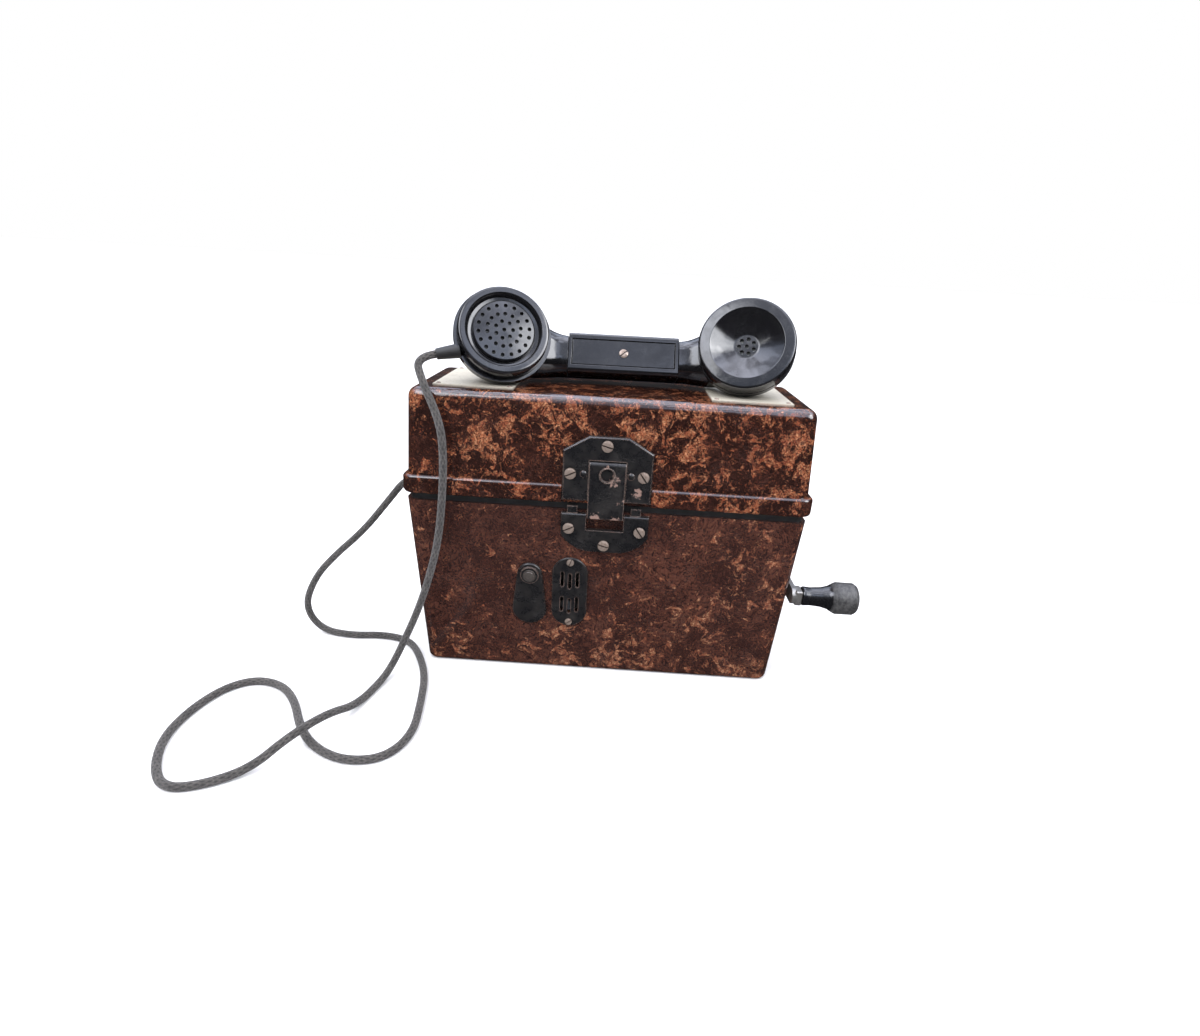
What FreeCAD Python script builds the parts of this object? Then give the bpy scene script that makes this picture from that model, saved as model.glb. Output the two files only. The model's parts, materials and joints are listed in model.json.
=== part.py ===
"""Field telephone: a moulded case with a hinged lid, a hand generator, a ringer and a handset on its lid.

Millimetres. +X is the crank side, -Y is the latch side, +Z is up. The origin is the centre of the base.
"""

import FreeCAD, Part
import math
import os

V = FreeCAD.Vector
X_AXIS, Y_AXIS, Z_AXIS = V(1, 0, 0), V(0, 1, 0), V(0, 0, 1)

# Fits
FACE_GAP = 0.3          # between pieces that come near each other without a fit
RUNNING = 0.05          # radial play of a shaft in its bush
SLIP = 0.25             # play all round a piece that is dropped into a recess

# Case
CASE_HEIGHT = 132.0
CASE_TOP_WIDTH = 275.6
CASE_TOP_DEPTH = 100.6
CASE_DRAFT_X = 7.85     # how far each side leans in towards the base
CASE_DRAFT_Y = 4.9
CORNER = 8.0
BASE_EDGE = 4.0
CASE_WALL = 6.0
BASE_WIDTH = CASE_TOP_WIDTH - 2 * CASE_DRAFT_X
BASE_DEPTH = CASE_TOP_DEPTH - 2 * CASE_DRAFT_Y

# Seal between the case and the lid
SEAL_INSET = 2.5
SEAL_WIDTH = 3.4
SEAL_SEAT = 2.0
LID_GAP = 5.0

# Lid
RIM_HEIGHT = 13.0
RIM_EDGE = 2.4
RIM_OVERHANG_X, RIM_OVERHANG_Y = 1.7, 2.45
LID_SET_IN_X, LID_SET_IN_Y = 1.0, 0.8
LID_DRAFT_X, LID_DRAFT_Y = 2.85, 2.2
LID_HEIGHT = 58.3       # above the rim
LID_EDGE = 7.0
LID_WALL = 5.0
LATCH_BREAK = 61.0      # how wide the rim is cut away for the latch
HINGE_X = 84.0
HINGE_WIDTH = 40.0
RIM_WIDTH = CASE_TOP_WIDTH + 2 * RIM_OVERHANG_X
RIM_DEPTH = CASE_TOP_DEPTH + 2 * RIM_OVERHANG_Y
LID_FOOT_WIDTH = CASE_TOP_WIDTH - 2 * LID_SET_IN_X
LID_FOOT_DEPTH = CASE_TOP_DEPTH - 2 * LID_SET_IN_Y
LID_TOP_WIDTH = LID_FOOT_WIDTH - 2 * LID_DRAFT_X
LID_TOP_DEPTH = LID_FOOT_DEPTH - 2 * LID_DRAFT_Y
RIM_LOW = CASE_HEIGHT + LID_GAP
RIM_TOP = RIM_LOW + RIM_HEIGHT
LID_TOP = RIM_TOP + LID_HEIGHT

# Plates on the lid top
PLATE_WIDTH = 54.0
PLATE_DEPTH = 71.0
PLATE_THICK = 0.8
PLATE_X = 93.0
PLATE_Y = 2.0
NAIL_RADIUS = 1.6

# Hinges
HINGE_OUT = 6.0         # from the rear of the case top to the pin
KNUCKLE_RADIUS = 3.4
HINGE_PIN_RADIUS = 1.5
LEAF_HEIGHT = 26.0
UPPER_LEAF_RISE = 18.0  # above the top of the rim
LEAF_OUT = 2.2
HINGE_SCREW_SPREAD = 12.0
HINGE_SCREW_DROP, HINGE_SCREW_RISE = 16.0, 9.0
HINGE_SCREW_RADIUS = 3.0

# Latch: the pieces on the lid are placed from the rim, those on the case from the top of the case
LATCH_HALF = 30.0
LATCH_THICK = 4.0
LATCH_EDGE = 0.8
UPPER_LOW, UPPER_SHOULDER, UPPER_TOP = RIM_LOW + 2.8, RIM_TOP + 24.0, RIM_TOP + 34.0
UPPER_TOP_HALF = 13.0
HASP_WIDTH = 24.4
HASP_LOW = CASE_HEIGHT - 4.5
HASP_THICK = 3.0
HASP_PROUD = 1.2
HASP_PIN_Z = RIM_TOP + 14.0
HASP_PIN_RADIUS = 1.3
HASP_PIN_OUT = 1.5      # from the lid's face to the middle of the pin
HASP_PIN_SEAT = 6.0     # how far the pin goes into the plate on each side
DIMPLE_Z = RIM_TOP + 8.5
DIMPLE_RADIUS = 4.6
DIMPLE_RING = 0.7
STUD_RADIUS = 3.0
SPRING_LOW, SPRING_TOP = RIM_TOP - 8.0, RIM_TOP + 7.0
LOWER_TOP, LOWER_SIDE, LOWER_BOTTOM = CASE_HEIGHT - 1.4, CASE_HEIGHT - 17.5, CASE_HEIGHT - 29.6
NOTCH_LOW = CASE_HEIGHT - 13.0
TOE_LOW, TOE_TOP = CASE_HEIGHT - 4.4, CASE_HEIGHT - 2.3
TOE_REACH = 3.0
TOE_HALF = 8.0
EARS = [(-26.0, -19.0), (17.2, 24.2)]
SCREW_RADIUS = 3.9
HASP_BACK = LATCH_THICK + HASP_PROUD - HASP_THICK
HASP_KNUCKLE = LATCH_THICK + HASP_PROUD - HASP_PIN_OUT

# Sound plate and swivel cover on the case front
SOUND_X, SOUND_Z = -22.5, CASE_HEIGHT - 64.7
SOUND_WIDTH, SOUND_HEIGHT, SOUND_THICK = 25.5, 56.0, 1.6
SLOT_WIDTH, SLOT_HEIGHT = 2.2, 12.5
SLOT_PITCH, SLOT_ROW = 5.4, 10.3
COVER_X = -51.3
COVER_PIVOT_Z = CASE_HEIGHT - 51.7
COVER_EYE_Z = COVER_PIVOT_Z - 28.3
COVER_TOP_RADIUS, COVER_EYE_RADIUS = 9.0, 12.4
COVER_THICK = 2.2
COVER_HUB_RADIUS, COVER_HUB_HEIGHT = 6.4, 1.2
PIVOT_RADIUS = 2.5
JACK_BORE = 3.25
JACK_BARREL = 6.0
JACK_FLANGE = 8.5
JACK_FLANGE_THICK = 2.0
JACK_LENGTH = 20.0

# Screws and nails as (across, height, slot angle) on their faces
SHEET_SCREW_RADIUS = 2.6
UPPER_SCREWS = [(-1.0, 28.0, -55), (-24.8, 8.3, 25), (24.0, 8.3, -15)]
LOWER_SCREWS = [
    (-24.6, CASE_HEIGHT - 12.3, 80), (24.0, CASE_HEIGHT - 12.5, 35), (0.0, CASE_HEIGHT - 24.0, -20),
]
SOUND_SCREWS = [(SOUND_X, SOUND_Z + 24.5, 30), (SOUND_X, SOUND_Z - 24.5, -40)]

# Inner panel
PANEL_Z, PANEL_THICK = CASE_HEIGHT - 22.0, 3.0
PANEL_PLAY = 0.5
BOSS_RADIUS, BOSS_HEIGHT = 6.0, 11.0
PANEL_SCREW_RADIUS = 2.8
TERMINAL_X, TERMINAL_Y, TERMINAL_PITCH = -88.0, 26.0, 16.0
TERMINAL_RADIUS = 2.0
REST_X, REST_WIDTH, REST_HEIGHT = 78.0, 16.0, 9.0
REST_Y0, REST_Y1 = -30.0, 14.0
REST_HOLLOW, REST_HOLLOW_RISE = 20.0, 23.0

# Hand generator, placed from the crank side's wall
CRANK_Y, CRANK_Z = 4.0, CASE_HEIGHT - 60.0
GEAR_MODULE = 1.0
GEAR_TEETH, PINION_TEETH = 60, 15
GEAR_WIDTH = 6.0
GEAR_BACKLASH = 0.22
PINION_BELOW = 37.0     # height of the gear axis above the armature axis
SHAFT_RADIUS = 4.0
BUSH_RADIUS = 7.0
ARMATURE_SHAFT = 3.0
ROTOR_RADIUS = 14.0
ROTOR_GAP = 0.5
ROTOR_END_GAP = 3.0
GENERATOR_MARGIN = 24.0
GENERATOR_LENGTH = 50.0
FRAME_PLATE = 3.0
POLE_THICK = 5.0
POLE_HALF = 14.0
MAGNET_THICK = 6.0
MAGNET_WIDTH, MAGNET_PITCH = 14.0, 16.0
MAGNET_CLEAR = 4.5      # below the inner panel
FRAME_X1 = BASE_WIDTH / 2 - CASE_WALL - GENERATOR_MARGIN
FRAME_X0 = FRAME_X1 - GENERATOR_LENGTH
ROTOR_X0, ROTOR_X1 = FRAME_X0 + ROTOR_END_GAP, FRAME_X1 - ROTOR_END_GAP
GEAR_X = FRAME_X1 + 10.0

# Crank
ARM_LENGTH = 44.0
ARM_THICK = 3.2
ARM_WIDTH = 12.0
ARM_CLEAR = 0.8         # from the case where the arm passes nearest to it
HUB_CLEAR = 1.6
HUB_RADIUS = 8.5
SPINDLE_RADIUS = 2.5
SPINDLE_HEAD = 1.6
BLOCK_REACH = 4.3
GRIP_LENGTH = 39.3
GRIP_NECK, GRIP_BELL = 6.4, 11.6

# Ringer
GONG_RADIUS, GONG_DEPTH, GONG_WALL = 19.5, 15.0, 1.2
GONG_APART = 4.0        # from each bell to the middle between them
GONG_FACE_Y = -34.0
GONG_SPREAD = GONG_RADIUS + GONG_APART
GONG_Z = (PANEL_Z + CASE_WALL) / 2
COIL_SPREAD, COIL_RADIUS = 18.0, 9.0
RINGER_FROM_GONG = 28.0
YOKE_Y = 30.0
YOKE_THICK = 3.0
CLAPPER_Y = 4.0
CLAPPER_PIN = 1.5

# Battery, induction coil and capacitor, in a row from the wall on the cord's side
CELL_RADIUS, CELL_GAP, CELL_HEIGHT = 15.0, 0.6, 80.0
CELL_SPREAD = CELL_RADIUS + CELL_GAP
BOX_WALL, BOX_PLAY, BOX_HEIGHT = 1.0, 0.4, 46.0
BOX_MARGIN = 8.0
CAN_WIDTH, CAN_Y0, CAN_Y1, CAN_HEIGHT = 14.5, 6.0, 31.0, 48.0
INDUCTION_Y, INDUCTION_RADIUS, INDUCTION_HEIGHT = 20.0, 8.5, 52.0
BOBBIN_HALF, BOBBIN_CORE, BOBBIN_END = 10.0, 4.0, 3.0
ROW_GAP = 3.5
CELL_X = -(BASE_WIDTH / 2 - CASE_WALL - BOX_MARGIN - BOX_WALL - BOX_PLAY - CELL_RADIUS)
CAN_X0 = CELL_X + CELL_RADIUS + BOX_PLAY + BOX_WALL + ROW_GAP
INDUCTION_X = CAN_X0 + CAN_WIDTH + ROW_GAP + BOBBIN_HALF
GONG_X = INDUCTION_X + BOBBIN_HALF + ROW_GAP + 12.0
RINGER_X = GONG_X + RINGER_FROM_GONG

# Handset, in its own frame: X along the handle, Y up the cap faces, Z out of them
HANDSET_X, HANDSET_Y = 6.6, -19.2
HANDSET_TILT, HANDSET_YAW = 28.5, 2.6
CAP_SPREAD = 80.4
CAP_INWARD = 13.0
CUP_RADIUS = 32.7
CUP_SHOULDER, CUP_DEPTH, CUP_BACK = 15.0, 43.0, 15.0
CAP_SKIRT = 9.0
MOUTH_RADIUS, EAR_RADIUS = 30.2, 32.2
CAP_SEAT = 8.0          # from a cap's face to the shoulder inside its cup
SPIGOT_RADIUS, CUP_CAVITY = 28.0, 25.5
CAPSULE_DEPTH = 13.0
EAR_BOWL_DEPTH = 10.4
MOUTH_RINGS = [(18, 16.9, 0.5), (14, 11.1, 0.5), (7, 5.8, 0.1), (1, 0.0, 0.0)]
MOUTH_HOLE, EAR_HOLE, EAR_RING = 1.3, 1.35, 5.1
HANDLE_DROP = 3.0       # the handle's middle lies this far below the caps' middles
KEY_HALF = 38.6
KEY_FRONT, KEY_SKIRT, KEY_WALL = -24.0, -36.0, 2.0
KEY_HEIGHT = 28.0
KEY_TRAVEL = 2.8
KEY_PLATE_RECESS = 1.2
KEY_FRAME_X, KEY_FRAME_Y = 2.4, 4.6
KEY_PLAY = 0.4
KEY_SCREW_HOLE = 1.6
STEM_HALF, STEM_DEPTH = 12.0, 14.0
SPRING_X, SPRING_HALF, SPRING_BACK = 16.0, 10.0, -46.0

# Cord: a limp braided cord, laid by hand along these points
CORD_RADIUS = 2.6
GLAND_RADIUS = 5.0
GLAND_Z = CASE_HEIGHT + LID_GAP / 2
GLAND_Y = -12.0
GLAND_X0, GLAND_X1 = -CASE_TOP_WIDTH / 2 - 1.2, -CASE_TOP_WIDTH / 2 + 15.8
BOOT_ROOT, BOOT_TIP = V(-96.4, -27.3, 231.6), V(-116.5, -34.0, 228.2)
BOOT_ROOT_RADIUS, BOOT_TIP_RADIUS = 5.4, 3.6

FLOOR_ROUTE = [
    (-139, -12, 134.5), (-148.5, -12, 134.5), (-163, -14, 116), (-184, -14, 90), (-210, -15, 66),
    (-226, -16, 47), (-237, -16, 21), (-224.5, -19, 2.6), (-198, -25, 2.6), (-172, -21, 2.6),
    (-149, -27, 2.6), (-134.5, -48, 2.6), (-124, -72, 2.6), (-118.5, -100, 2.6), (-114, -132, 2.6),
    (-124, -154, 2.6), (-146, -159, 2.6), (-168, -151, 2.6), (-186, -134, 2.6), (-202, -108, 2.6),
    (-219, -92, 2.6), (-240, -88, 2.6), (-256, -100, 2.6), (-264, -124, 2.6), (-264, -150, 2.6),
    (-252, -175, 2.6), (-237, -189, 2.6), (-217, -184, 2.6), (-197, -171, 4), (-182, -155, 14),
    (-168, -132, 14.5), (-160, -108, 2.6), (-156.5, -94, 2.6),
]
RISING_ROUTE = [
    (-156.5, -94, 2.6), (-153, -80, 2.6), (-149, -66, 8), (-141, -60, 26), (-131, -58.5, 49),
    (-121.5, -58.5, 76), (-113.5, -58.5, 106), (-109.5, -58.5, 138), (-107.5, -58.5, 168),
    (-109.3, -58, 190), (-116.3, -52.8, 202.2),
]
LID_ROUTE = [
    (-116.3, -52.8, 202.2), (-122.46, -48.22, 212.94), (-128.96, -38.15, 226.09), (-116.5, -34, 228.2),
]
TAIL_ROUTE = [
    (-122, -12, 134.5), (-114, -12, 134.5), (-104, -12, 129), (-103, -12, 119), (-103, -12, 108),
]


def half_at(z, low, high, height):
    """Half a width that grows evenly from low at the base to high at the given height."""
    return (low + (high - low) * z / height) / 2


def case_half_width(z):
    return half_at(z, BASE_WIDTH, CASE_TOP_WIDTH, CASE_HEIGHT)


def case_half_depth(z):
    return half_at(z, BASE_DEPTH, CASE_TOP_DEPTH, CASE_HEIGHT)


SEAL_TOP = RIM_LOW - FACE_GAP
CASE_TILT = math.degrees(math.atan((CASE_TOP_DEPTH - BASE_DEPTH) / 2 / CASE_HEIGHT))
LID_TILT = math.degrees(math.atan((LID_FOOT_DEPTH - LID_TOP_DEPTH) / 2 / LID_HEIGHT))
HINGE_Y = CASE_TOP_DEPTH / 2 + HINGE_OUT
HINGE_Z = CASE_HEIGHT + LID_GAP / 2
ARMATURE_Z = CRANK_Z - PINION_BELOW
GEAR_CENTRES = GEAR_MODULE * (GEAR_TEETH + PINION_TEETH) / 2
ARMATURE_Y = CRANK_Y - math.sqrt(GEAR_CENTRES ** 2 - PINION_BELOW ** 2)
GRIP_Y = CRANK_Y - ARM_LENGTH
HUB_X = case_half_width(CRANK_Z) + HUB_CLEAR
ARM_X0 = case_half_width(CRANK_Z + ARM_LENGTH + ARM_WIDTH / 2) + ARM_CLEAR
ARM_X1 = ARM_X0 + ARM_THICK
BLOCK_X1 = ARM_X1 + BLOCK_REACH
LEAF_FACE_Y = HINGE_Y - KNUCKLE_RADIUS + LEAF_OUT


def box(x0, x1, y0, y1, z0, z1):
    return Part.makeBox(x1 - x0, y1 - y0, z1 - z0, V(x0, y0, z0))


def rod(radius, start, end):
    """A round bar from one point to another."""
    way = end - start
    return Part.makeCylinder(radius, way.Length, start, way)


def rounded_wire(width, depth, radius, z):
    """A closed rectangle with round corners, level at height z."""
    x, y, r = width / 2, depth / 2, radius
    s = r * (1 - math.sqrt(0.5))
    corners = [
        ((x - r, -y), (x - s, -y + s), (x, -y + r)),
        ((x, y - r), (x - s, y - s), (x - r, y)),
        ((-x + r, y), (-x + s, y - s), (-x, y - r)),
        ((-x, -y + r), (-x + s, -y + s), (-x + r, -y)),
    ]
    edges = []
    for i, (a, m, b) in enumerate(corners):
        a, m, b = (V(p[0], p[1], z) for p in (a, m, b))
        nxt = corners[(i + 1) % 4][0]
        edges.append(Part.Arc(a, m, b).toShape())
        edges.append(Part.makeLine(b, V(nxt[0], nxt[1], z)))
    return Part.Wire(edges)


def tapered(low, high, z0, z1):
    """A solid between two rounded rectangles, each (width, depth, corner)."""
    return Part.makeLoft([rounded_wire(*low, z0), rounded_wire(*high, z1)], True, True)


def prism(points, z0, z1):
    """A flat outline of (x, y) points raised from z0 to z1."""
    wire = Part.makePolygon([V(x, y, z0) for x, y in points + points[:1]])
    return Part.Face(wire).extrude(V(0, 0, z1 - z0))


def turned(profile):
    """A closed (radius, height) outline turned about Z."""
    wire = Part.makePolygon([V(r, 0, h) for r, h in profile + profile[:1]])
    return Part.Face(wire).revolve(V(0, 0, 0), Z_AXIS, 360)


def edges_where(shape, test):
    """Edges whose ends all pass the test."""
    return [e for e in shape.Edges if e.Length > 0.01 and all(test(v.Point) for v in e.Vertexes)]


def along(shape, axis, origin):
    """A shape made about Z, laid along another axis at a point."""
    moved = shape.copy()
    moved.Placement = FreeCAD.Placement(origin, FreeCAD.Rotation(Z_AXIS, axis)).multiply(moved.Placement)
    return moved


def on_face(shape, height, y, tilt):
    """Takes a shape made with X across, Y up and Z outward to a front face at the given height."""
    moved = shape.copy()
    spot = FreeCAD.Placement(V(0, y, height), FreeCAD.Rotation(X_AXIS, 90 + tilt))
    moved.Placement = spot.multiply(moved.Placement)
    return moved


def on_case(shape):
    """Front face of the case; local Y is the height."""
    return on_face(shape, 0, -BASE_DEPTH / 2, CASE_TILT)


def on_lid(shape):
    """Front face of the lid above the rim; local Y is the height above the rim."""
    return on_face(shape, RIM_TOP, -LID_FOOT_DEPTH / 2, -LID_TILT)


def screw(x, y, seat, radius=SCREW_RADIUS, head=1.6, shank=8.0, angle=0.0):
    """A slotted screw with a low domed head, driven along -Z into a face at z = seat."""
    body = turned([(0, -shank), (radius * 0.5, -shank), (radius * 0.5, 0), (radius, 0), (radius, head * 0.5),
                   (radius * 0.8, head * 0.85), (radius * 0.4, head), (0, head)])
    slot = box(-radius * 1.2, radius * 1.2, -radius * 0.13, radius * 0.13, head * 0.45, head * 1.2)
    slot.rotate(V(0, 0, 0), Z_AXIS, angle)
    body = body.cut(slot)
    body.translate(V(x, y, seat))
    return body


def screw_hole(x, y, seat, radius=SCREW_RADIUS, shank=8.0):
    """The hole that the shank of a screw needs, with a fit of its own."""
    return Part.makeCylinder(radius * 0.5, shank, V(x, y, seat - shank))


def group(solids):
    return Part.makeCompound(solids)


def case_shell():
    """The moulded case with its bosses, openings and screw holes."""
    wall_x = case_half_width(CRANK_Z)
    outer = case_outline()
    outer = outer.makeFillet(BASE_EDGE, edges_where(outer, lambda p: abs(p.z) < 0.01))
    floor_size = (2 * (case_half_width(CASE_WALL) - CASE_WALL), 2 * (case_half_depth(CASE_WALL) - CASE_WALL))
    mouth_size = (CASE_TOP_WIDTH - 2 * CASE_WALL, CASE_TOP_DEPTH - 2 * CASE_WALL)
    inner_corner = CORNER - CASE_WALL
    cavity = tapered((*floor_size, inner_corner), (*mouth_size, inner_corner), CASE_WALL, CASE_HEIGHT)
    shell = outer.cut(cavity)
    bosses = [b.common(outer) for b in panel_bosses()]
    shell = shell.fuse(bosses)
    cuts = [
        seal_ring(),
        rod(BUSH_RADIUS, V(wall_x - 2 * CASE_WALL, CRANK_Y, CRANK_Z), V(wall_x + CASE_WALL, CRANK_Y, CRANK_Z)),
        on_case(Part.makeCylinder(JACK_FLANGE, 3.0, V(COVER_X, COVER_EYE_Z, -JACK_FLANGE_THICK))),
        on_case(Part.makeCylinder(JACK_BARREL, 30.0, V(COVER_X, COVER_EYE_Z, -JACK_LENGTH))),
        on_case(stadium(SOUND_X, SOUND_Z, SOUND_WIDTH - 8, SOUND_HEIGHT - 18, -20.0, 5.0)),
        on_case(Part.makeCylinder(PIVOT_RADIUS, 10.0, V(COVER_X, COVER_PIVOT_Z, -5.0))),
        on_case(box(-HASP_WIDTH / 2 + 1, HASP_WIDTH / 2 - 1, NOTCH_LOW, TOE_TOP + FACE_GAP, -2.0, 3.0)),
        on_case(box(-TOE_HALF - 1, TOE_HALF + 1, TOE_LOW - 1.0, TOE_TOP + FACE_GAP, -TOE_REACH - 1.2, 3.0)),
        gland_notch(),
    ]
    cuts += [on_case(screw_hole(x, z, LATCH_THICK)) for x, z, _ in LOWER_SCREWS]
    cuts += [on_case(screw_hole(x, z, SOUND_THICK, SHEET_SCREW_RADIUS, 6.0)) for x, z, _ in SOUND_SCREWS]
    cuts += [screw_hole(x, y, PANEL_Z + PANEL_THICK, PANEL_SCREW_RADIUS, 9.0) for x, y in boss_places()]
    cuts += hinge_screw_holes(-1)
    return shell.cut(cuts).removeSplitter()


def boss_places():
    """Centres of the four bosses that carry the inner panel."""
    x = case_half_width(PANEL_Z) - CASE_WALL - BOSS_RADIUS
    y = case_half_depth(PANEL_Z) - CASE_WALL - BOSS_RADIUS
    return [(sx * x, sy * y) for sx in (-1, 1) for sy in (-1, 1)]


def panel_bosses():
    """Bosses in the inner corners, run out to the walls behind them."""
    out = []
    for x, y in boss_places():
        sx, sy = math.copysign(1, x), math.copysign(1, y)
        z0 = PANEL_Z - BOSS_HEIGHT
        post = Part.makeCylinder(BOSS_RADIUS, BOSS_HEIGHT, V(x, y, z0))
        reach = BOSS_RADIUS + CASE_WALL - 1.0
        rib = box(min(x, x + sx * reach), max(x, x + sx * reach),
                  min(y, y + sy * reach), max(y, y + sy * reach), z0, PANEL_Z)
        out.append(post.fuse(rib))
    return out


def seal_ring():
    """The ring between the case and the lid, sunk into the inner edge of the case."""
    depth, width = SEAL_SEAT, SEAL_WIDTH
    outer = rounded_wire(CASE_TOP_WIDTH - 2 * SEAL_INSET, CASE_TOP_DEPTH - 2 * SEAL_INSET, CORNER - SEAL_INSET,
                         CASE_HEIGHT - depth)
    inner = rounded_wire(CASE_TOP_WIDTH - 2 * (SEAL_INSET + width), CASE_TOP_DEPTH - 2 * (SEAL_INSET + width),
                         CORNER - SEAL_INSET - width, CASE_HEIGHT - depth)
    rise = V(0, 0, depth + SEAL_TOP - CASE_HEIGHT)
    return Part.Face(outer).extrude(rise).cut(Part.Face(inner).extrude(rise))


def seal():
    return seal_ring().cut(gland_notch())


def gland_notch():
    """The round notch that the gland sits in, half in the case and half in the lid."""
    return rod(GLAND_RADIUS, V(GLAND_X0 - 10, GLAND_Y, GLAND_Z), V(GLAND_X1 + 10, GLAND_Y, GLAND_Z))


def lid_shell():
    """The moulded lid with its rim, its pocket for the latch and its notch for the cord."""
    body = lid_upper()
    body = body.makeFillet(LID_EDGE, edges_where(body, lambda p: abs(p.z - LID_TOP) < 0.01))
    rim_size = (RIM_WIDTH, RIM_DEPTH, CORNER)
    rim = tapered(rim_size, rim_size, RIM_LOW, RIM_TOP)
    rim = rim.makeFillet(RIM_EDGE, edges_where(rim, lambda p: min(abs(p.z - RIM_TOP), abs(p.z - RIM_LOW)) < 0.01))
    front = box(-LATCH_BREAK / 2, LATCH_BREAK / 2, -RIM_DEPTH, -LID_FOOT_DEPTH / 2, RIM_LOW - 1, RIM_TOP)
    breaks = [front]
    for side in (-1, 1):
        x = side * HINGE_X
        breaks.append(box(x - HINGE_WIDTH / 2 - 1, x + HINGE_WIDTH / 2 + 1, LID_FOOT_DEPTH / 2, RIM_DEPTH,
                          RIM_LOW - 1, RIM_TOP))
    outer = rim.cut(breaks).fuse([lid_foot(), body])
    inner_low = (LID_FOOT_WIDTH - 2 * LID_WALL, LID_FOOT_DEPTH - 2 * LID_WALL, CORNER - LID_WALL)
    inner_high = (LID_TOP_WIDTH - 2 * LID_WALL, LID_TOP_DEPTH - 2 * LID_WALL, CORNER - LID_WALL)
    cavity = tapered(inner_low, inner_high, RIM_LOW, LID_TOP - LID_WALL)
    pocket, pin_up = HASP_WIDTH / 2 + SLIP, HASP_PIN_Z - RIM_TOP
    cuts = [
        cavity,
        on_lid(box(-pocket, pocket, RIM_LOW - RIM_TOP - 2, pin_up + HASP_KNUCKLE + 1, -2.2, 1)),
        on_lid(box(-pocket, pocket, pin_up - 5, pin_up + 5, -3.6, 1)),
        gland_notch(),
    ]
    cuts += [on_lid(screw_hole(x, z, LATCH_THICK)) for x, z, _ in UPPER_SCREWS]
    cuts += [nail_hole(x, y) for x, y in nail_places()]
    cuts += hinge_screw_holes(1)
    return outer.cut(cuts).removeSplitter()


def name_plates():
    """Two plain plates on the lid top."""
    plates = []
    for side in (-1, 1):
        plate = box(side * PLATE_X - PLATE_WIDTH / 2, side * PLATE_X + PLATE_WIDTH / 2,
                    PLATE_Y - PLATE_DEPTH / 2, PLATE_Y + PLATE_DEPTH / 2, LID_TOP, LID_TOP + PLATE_THICK)
        plates.append(plate)
    holes = [nail_hole(x, y) for x, y in nail_places()]
    return group([p.cut(holes) for p in plates])


def nail_places():
    """A nail near each corner of each plate."""
    x, y = PLATE_WIDTH / 2 - 3.2, PLATE_DEPTH / 2 - 3.2
    return [(side * PLATE_X + sx * x, PLATE_Y + sy * y)
            for side in (-1, 1) for sx in (-1, 1) for sy in (-1, 1)]


def nail_hole(x, y):
    return Part.makeCylinder(NAIL_RADIUS / 2, 5.0, V(x, y, LID_TOP - 3.0))


def plate_nails():
    top = LID_TOP + PLATE_THICK
    nails = []
    for x, y in nail_places():
        head = turned([(0, -3.0), (NAIL_RADIUS / 2, -3.0), (NAIL_RADIUS / 2, 0), (NAIL_RADIUS, 0),
                       (NAIL_RADIUS * 0.7, 0.5), (0, 0.7)])
        head.translate(V(x, y, top))
        nails.append(head)
    return group(nails)


# Hinges

def knuckle(x0, x1, more=0.0):
    """A length of the round part of a hinge, or the larger room around it."""
    return rod(KNUCKLE_RADIUS + more, V(x0, HINGE_Y, HINGE_Z), V(x1, HINGE_Y, HINGE_Z))


def hinge_screw_places(level):
    """Screws through the leaves below (-1) or above (1) the pin."""
    z = CASE_HEIGHT - HINGE_SCREW_DROP if level < 0 else RIM_TOP + HINGE_SCREW_RISE
    return [(side * HINGE_X + way * HINGE_SCREW_SPREAD, z) for side in (-1, 1) for way in (-1, 1)]


def hinge_screw_holes(level):
    radius = HINGE_SCREW_RADIUS / 2
    return [rod(radius, V(x, LEAF_FACE_Y - 7.0, z), V(x, LEAF_FACE_Y, z)) for x, z in hinge_screw_places(level)]


def hinge_leaf(side, level, backing):
    """One leaf with its knuckles; its back is shaped by the wall that it lies on."""
    x = side * HINGE_X
    half = HINGE_WIDTH / 2
    third = HINGE_WIDTH / 3
    z_near = HINGE_Z + level * 1.0
    z_far = CASE_HEIGHT - LEAF_HEIGHT if level < 0 else RIM_TOP + UPPER_LEAF_RISE
    leaf = box(x - half, x + half, CASE_TOP_DEPTH / 2 - 8, LEAF_FACE_Y, min(z_near, z_far), max(z_near, z_far))
    out, inn = third / 2 + FACE_GAP / 2, third / 2 - FACE_GAP / 2
    if level < 0:
        tubes = [knuckle(x - half, x - out), knuckle(x + out, x + half)]
        clear = [knuckle(x - out, x + out, 0.4)]
        wall = box(x - half - 1, x + half + 1, 0, CASE_TOP_DEPTH / 2 + 0.1, CASE_HEIGHT, RIM_TOP)
    else:
        tubes = [knuckle(x - inn, x + inn)]
        clear = [knuckle(x - half - 1, x - inn, 0.4), knuckle(x + inn, x + half + 1, 0.4)]
        wall = box(x - half - 1, x + half + 1, 0, LID_FOOT_DEPTH / 2, 0, RIM_LOW + 1.2)
    leaf = leaf.cut(clear + [wall]).fuse(tubes)
    bore = rod(HINGE_PIN_RADIUS + RUNNING, V(x - half - 1, HINGE_Y, HINGE_Z), V(x + half + 1, HINGE_Y, HINGE_Z))
    return leaf.cut([backing, bore] + hinge_screw_holes(level))


def case_outline():
    low, high = (BASE_WIDTH, BASE_DEPTH, CORNER), (CASE_TOP_WIDTH, CASE_TOP_DEPTH, CORNER)
    return tapered(low, high, 0, CASE_HEIGHT)


def lid_foot():
    """The lid inside its rim."""
    size = (LID_FOOT_WIDTH, LID_FOOT_DEPTH, CORNER)
    return tapered(size, size, RIM_LOW, RIM_TOP)


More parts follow.
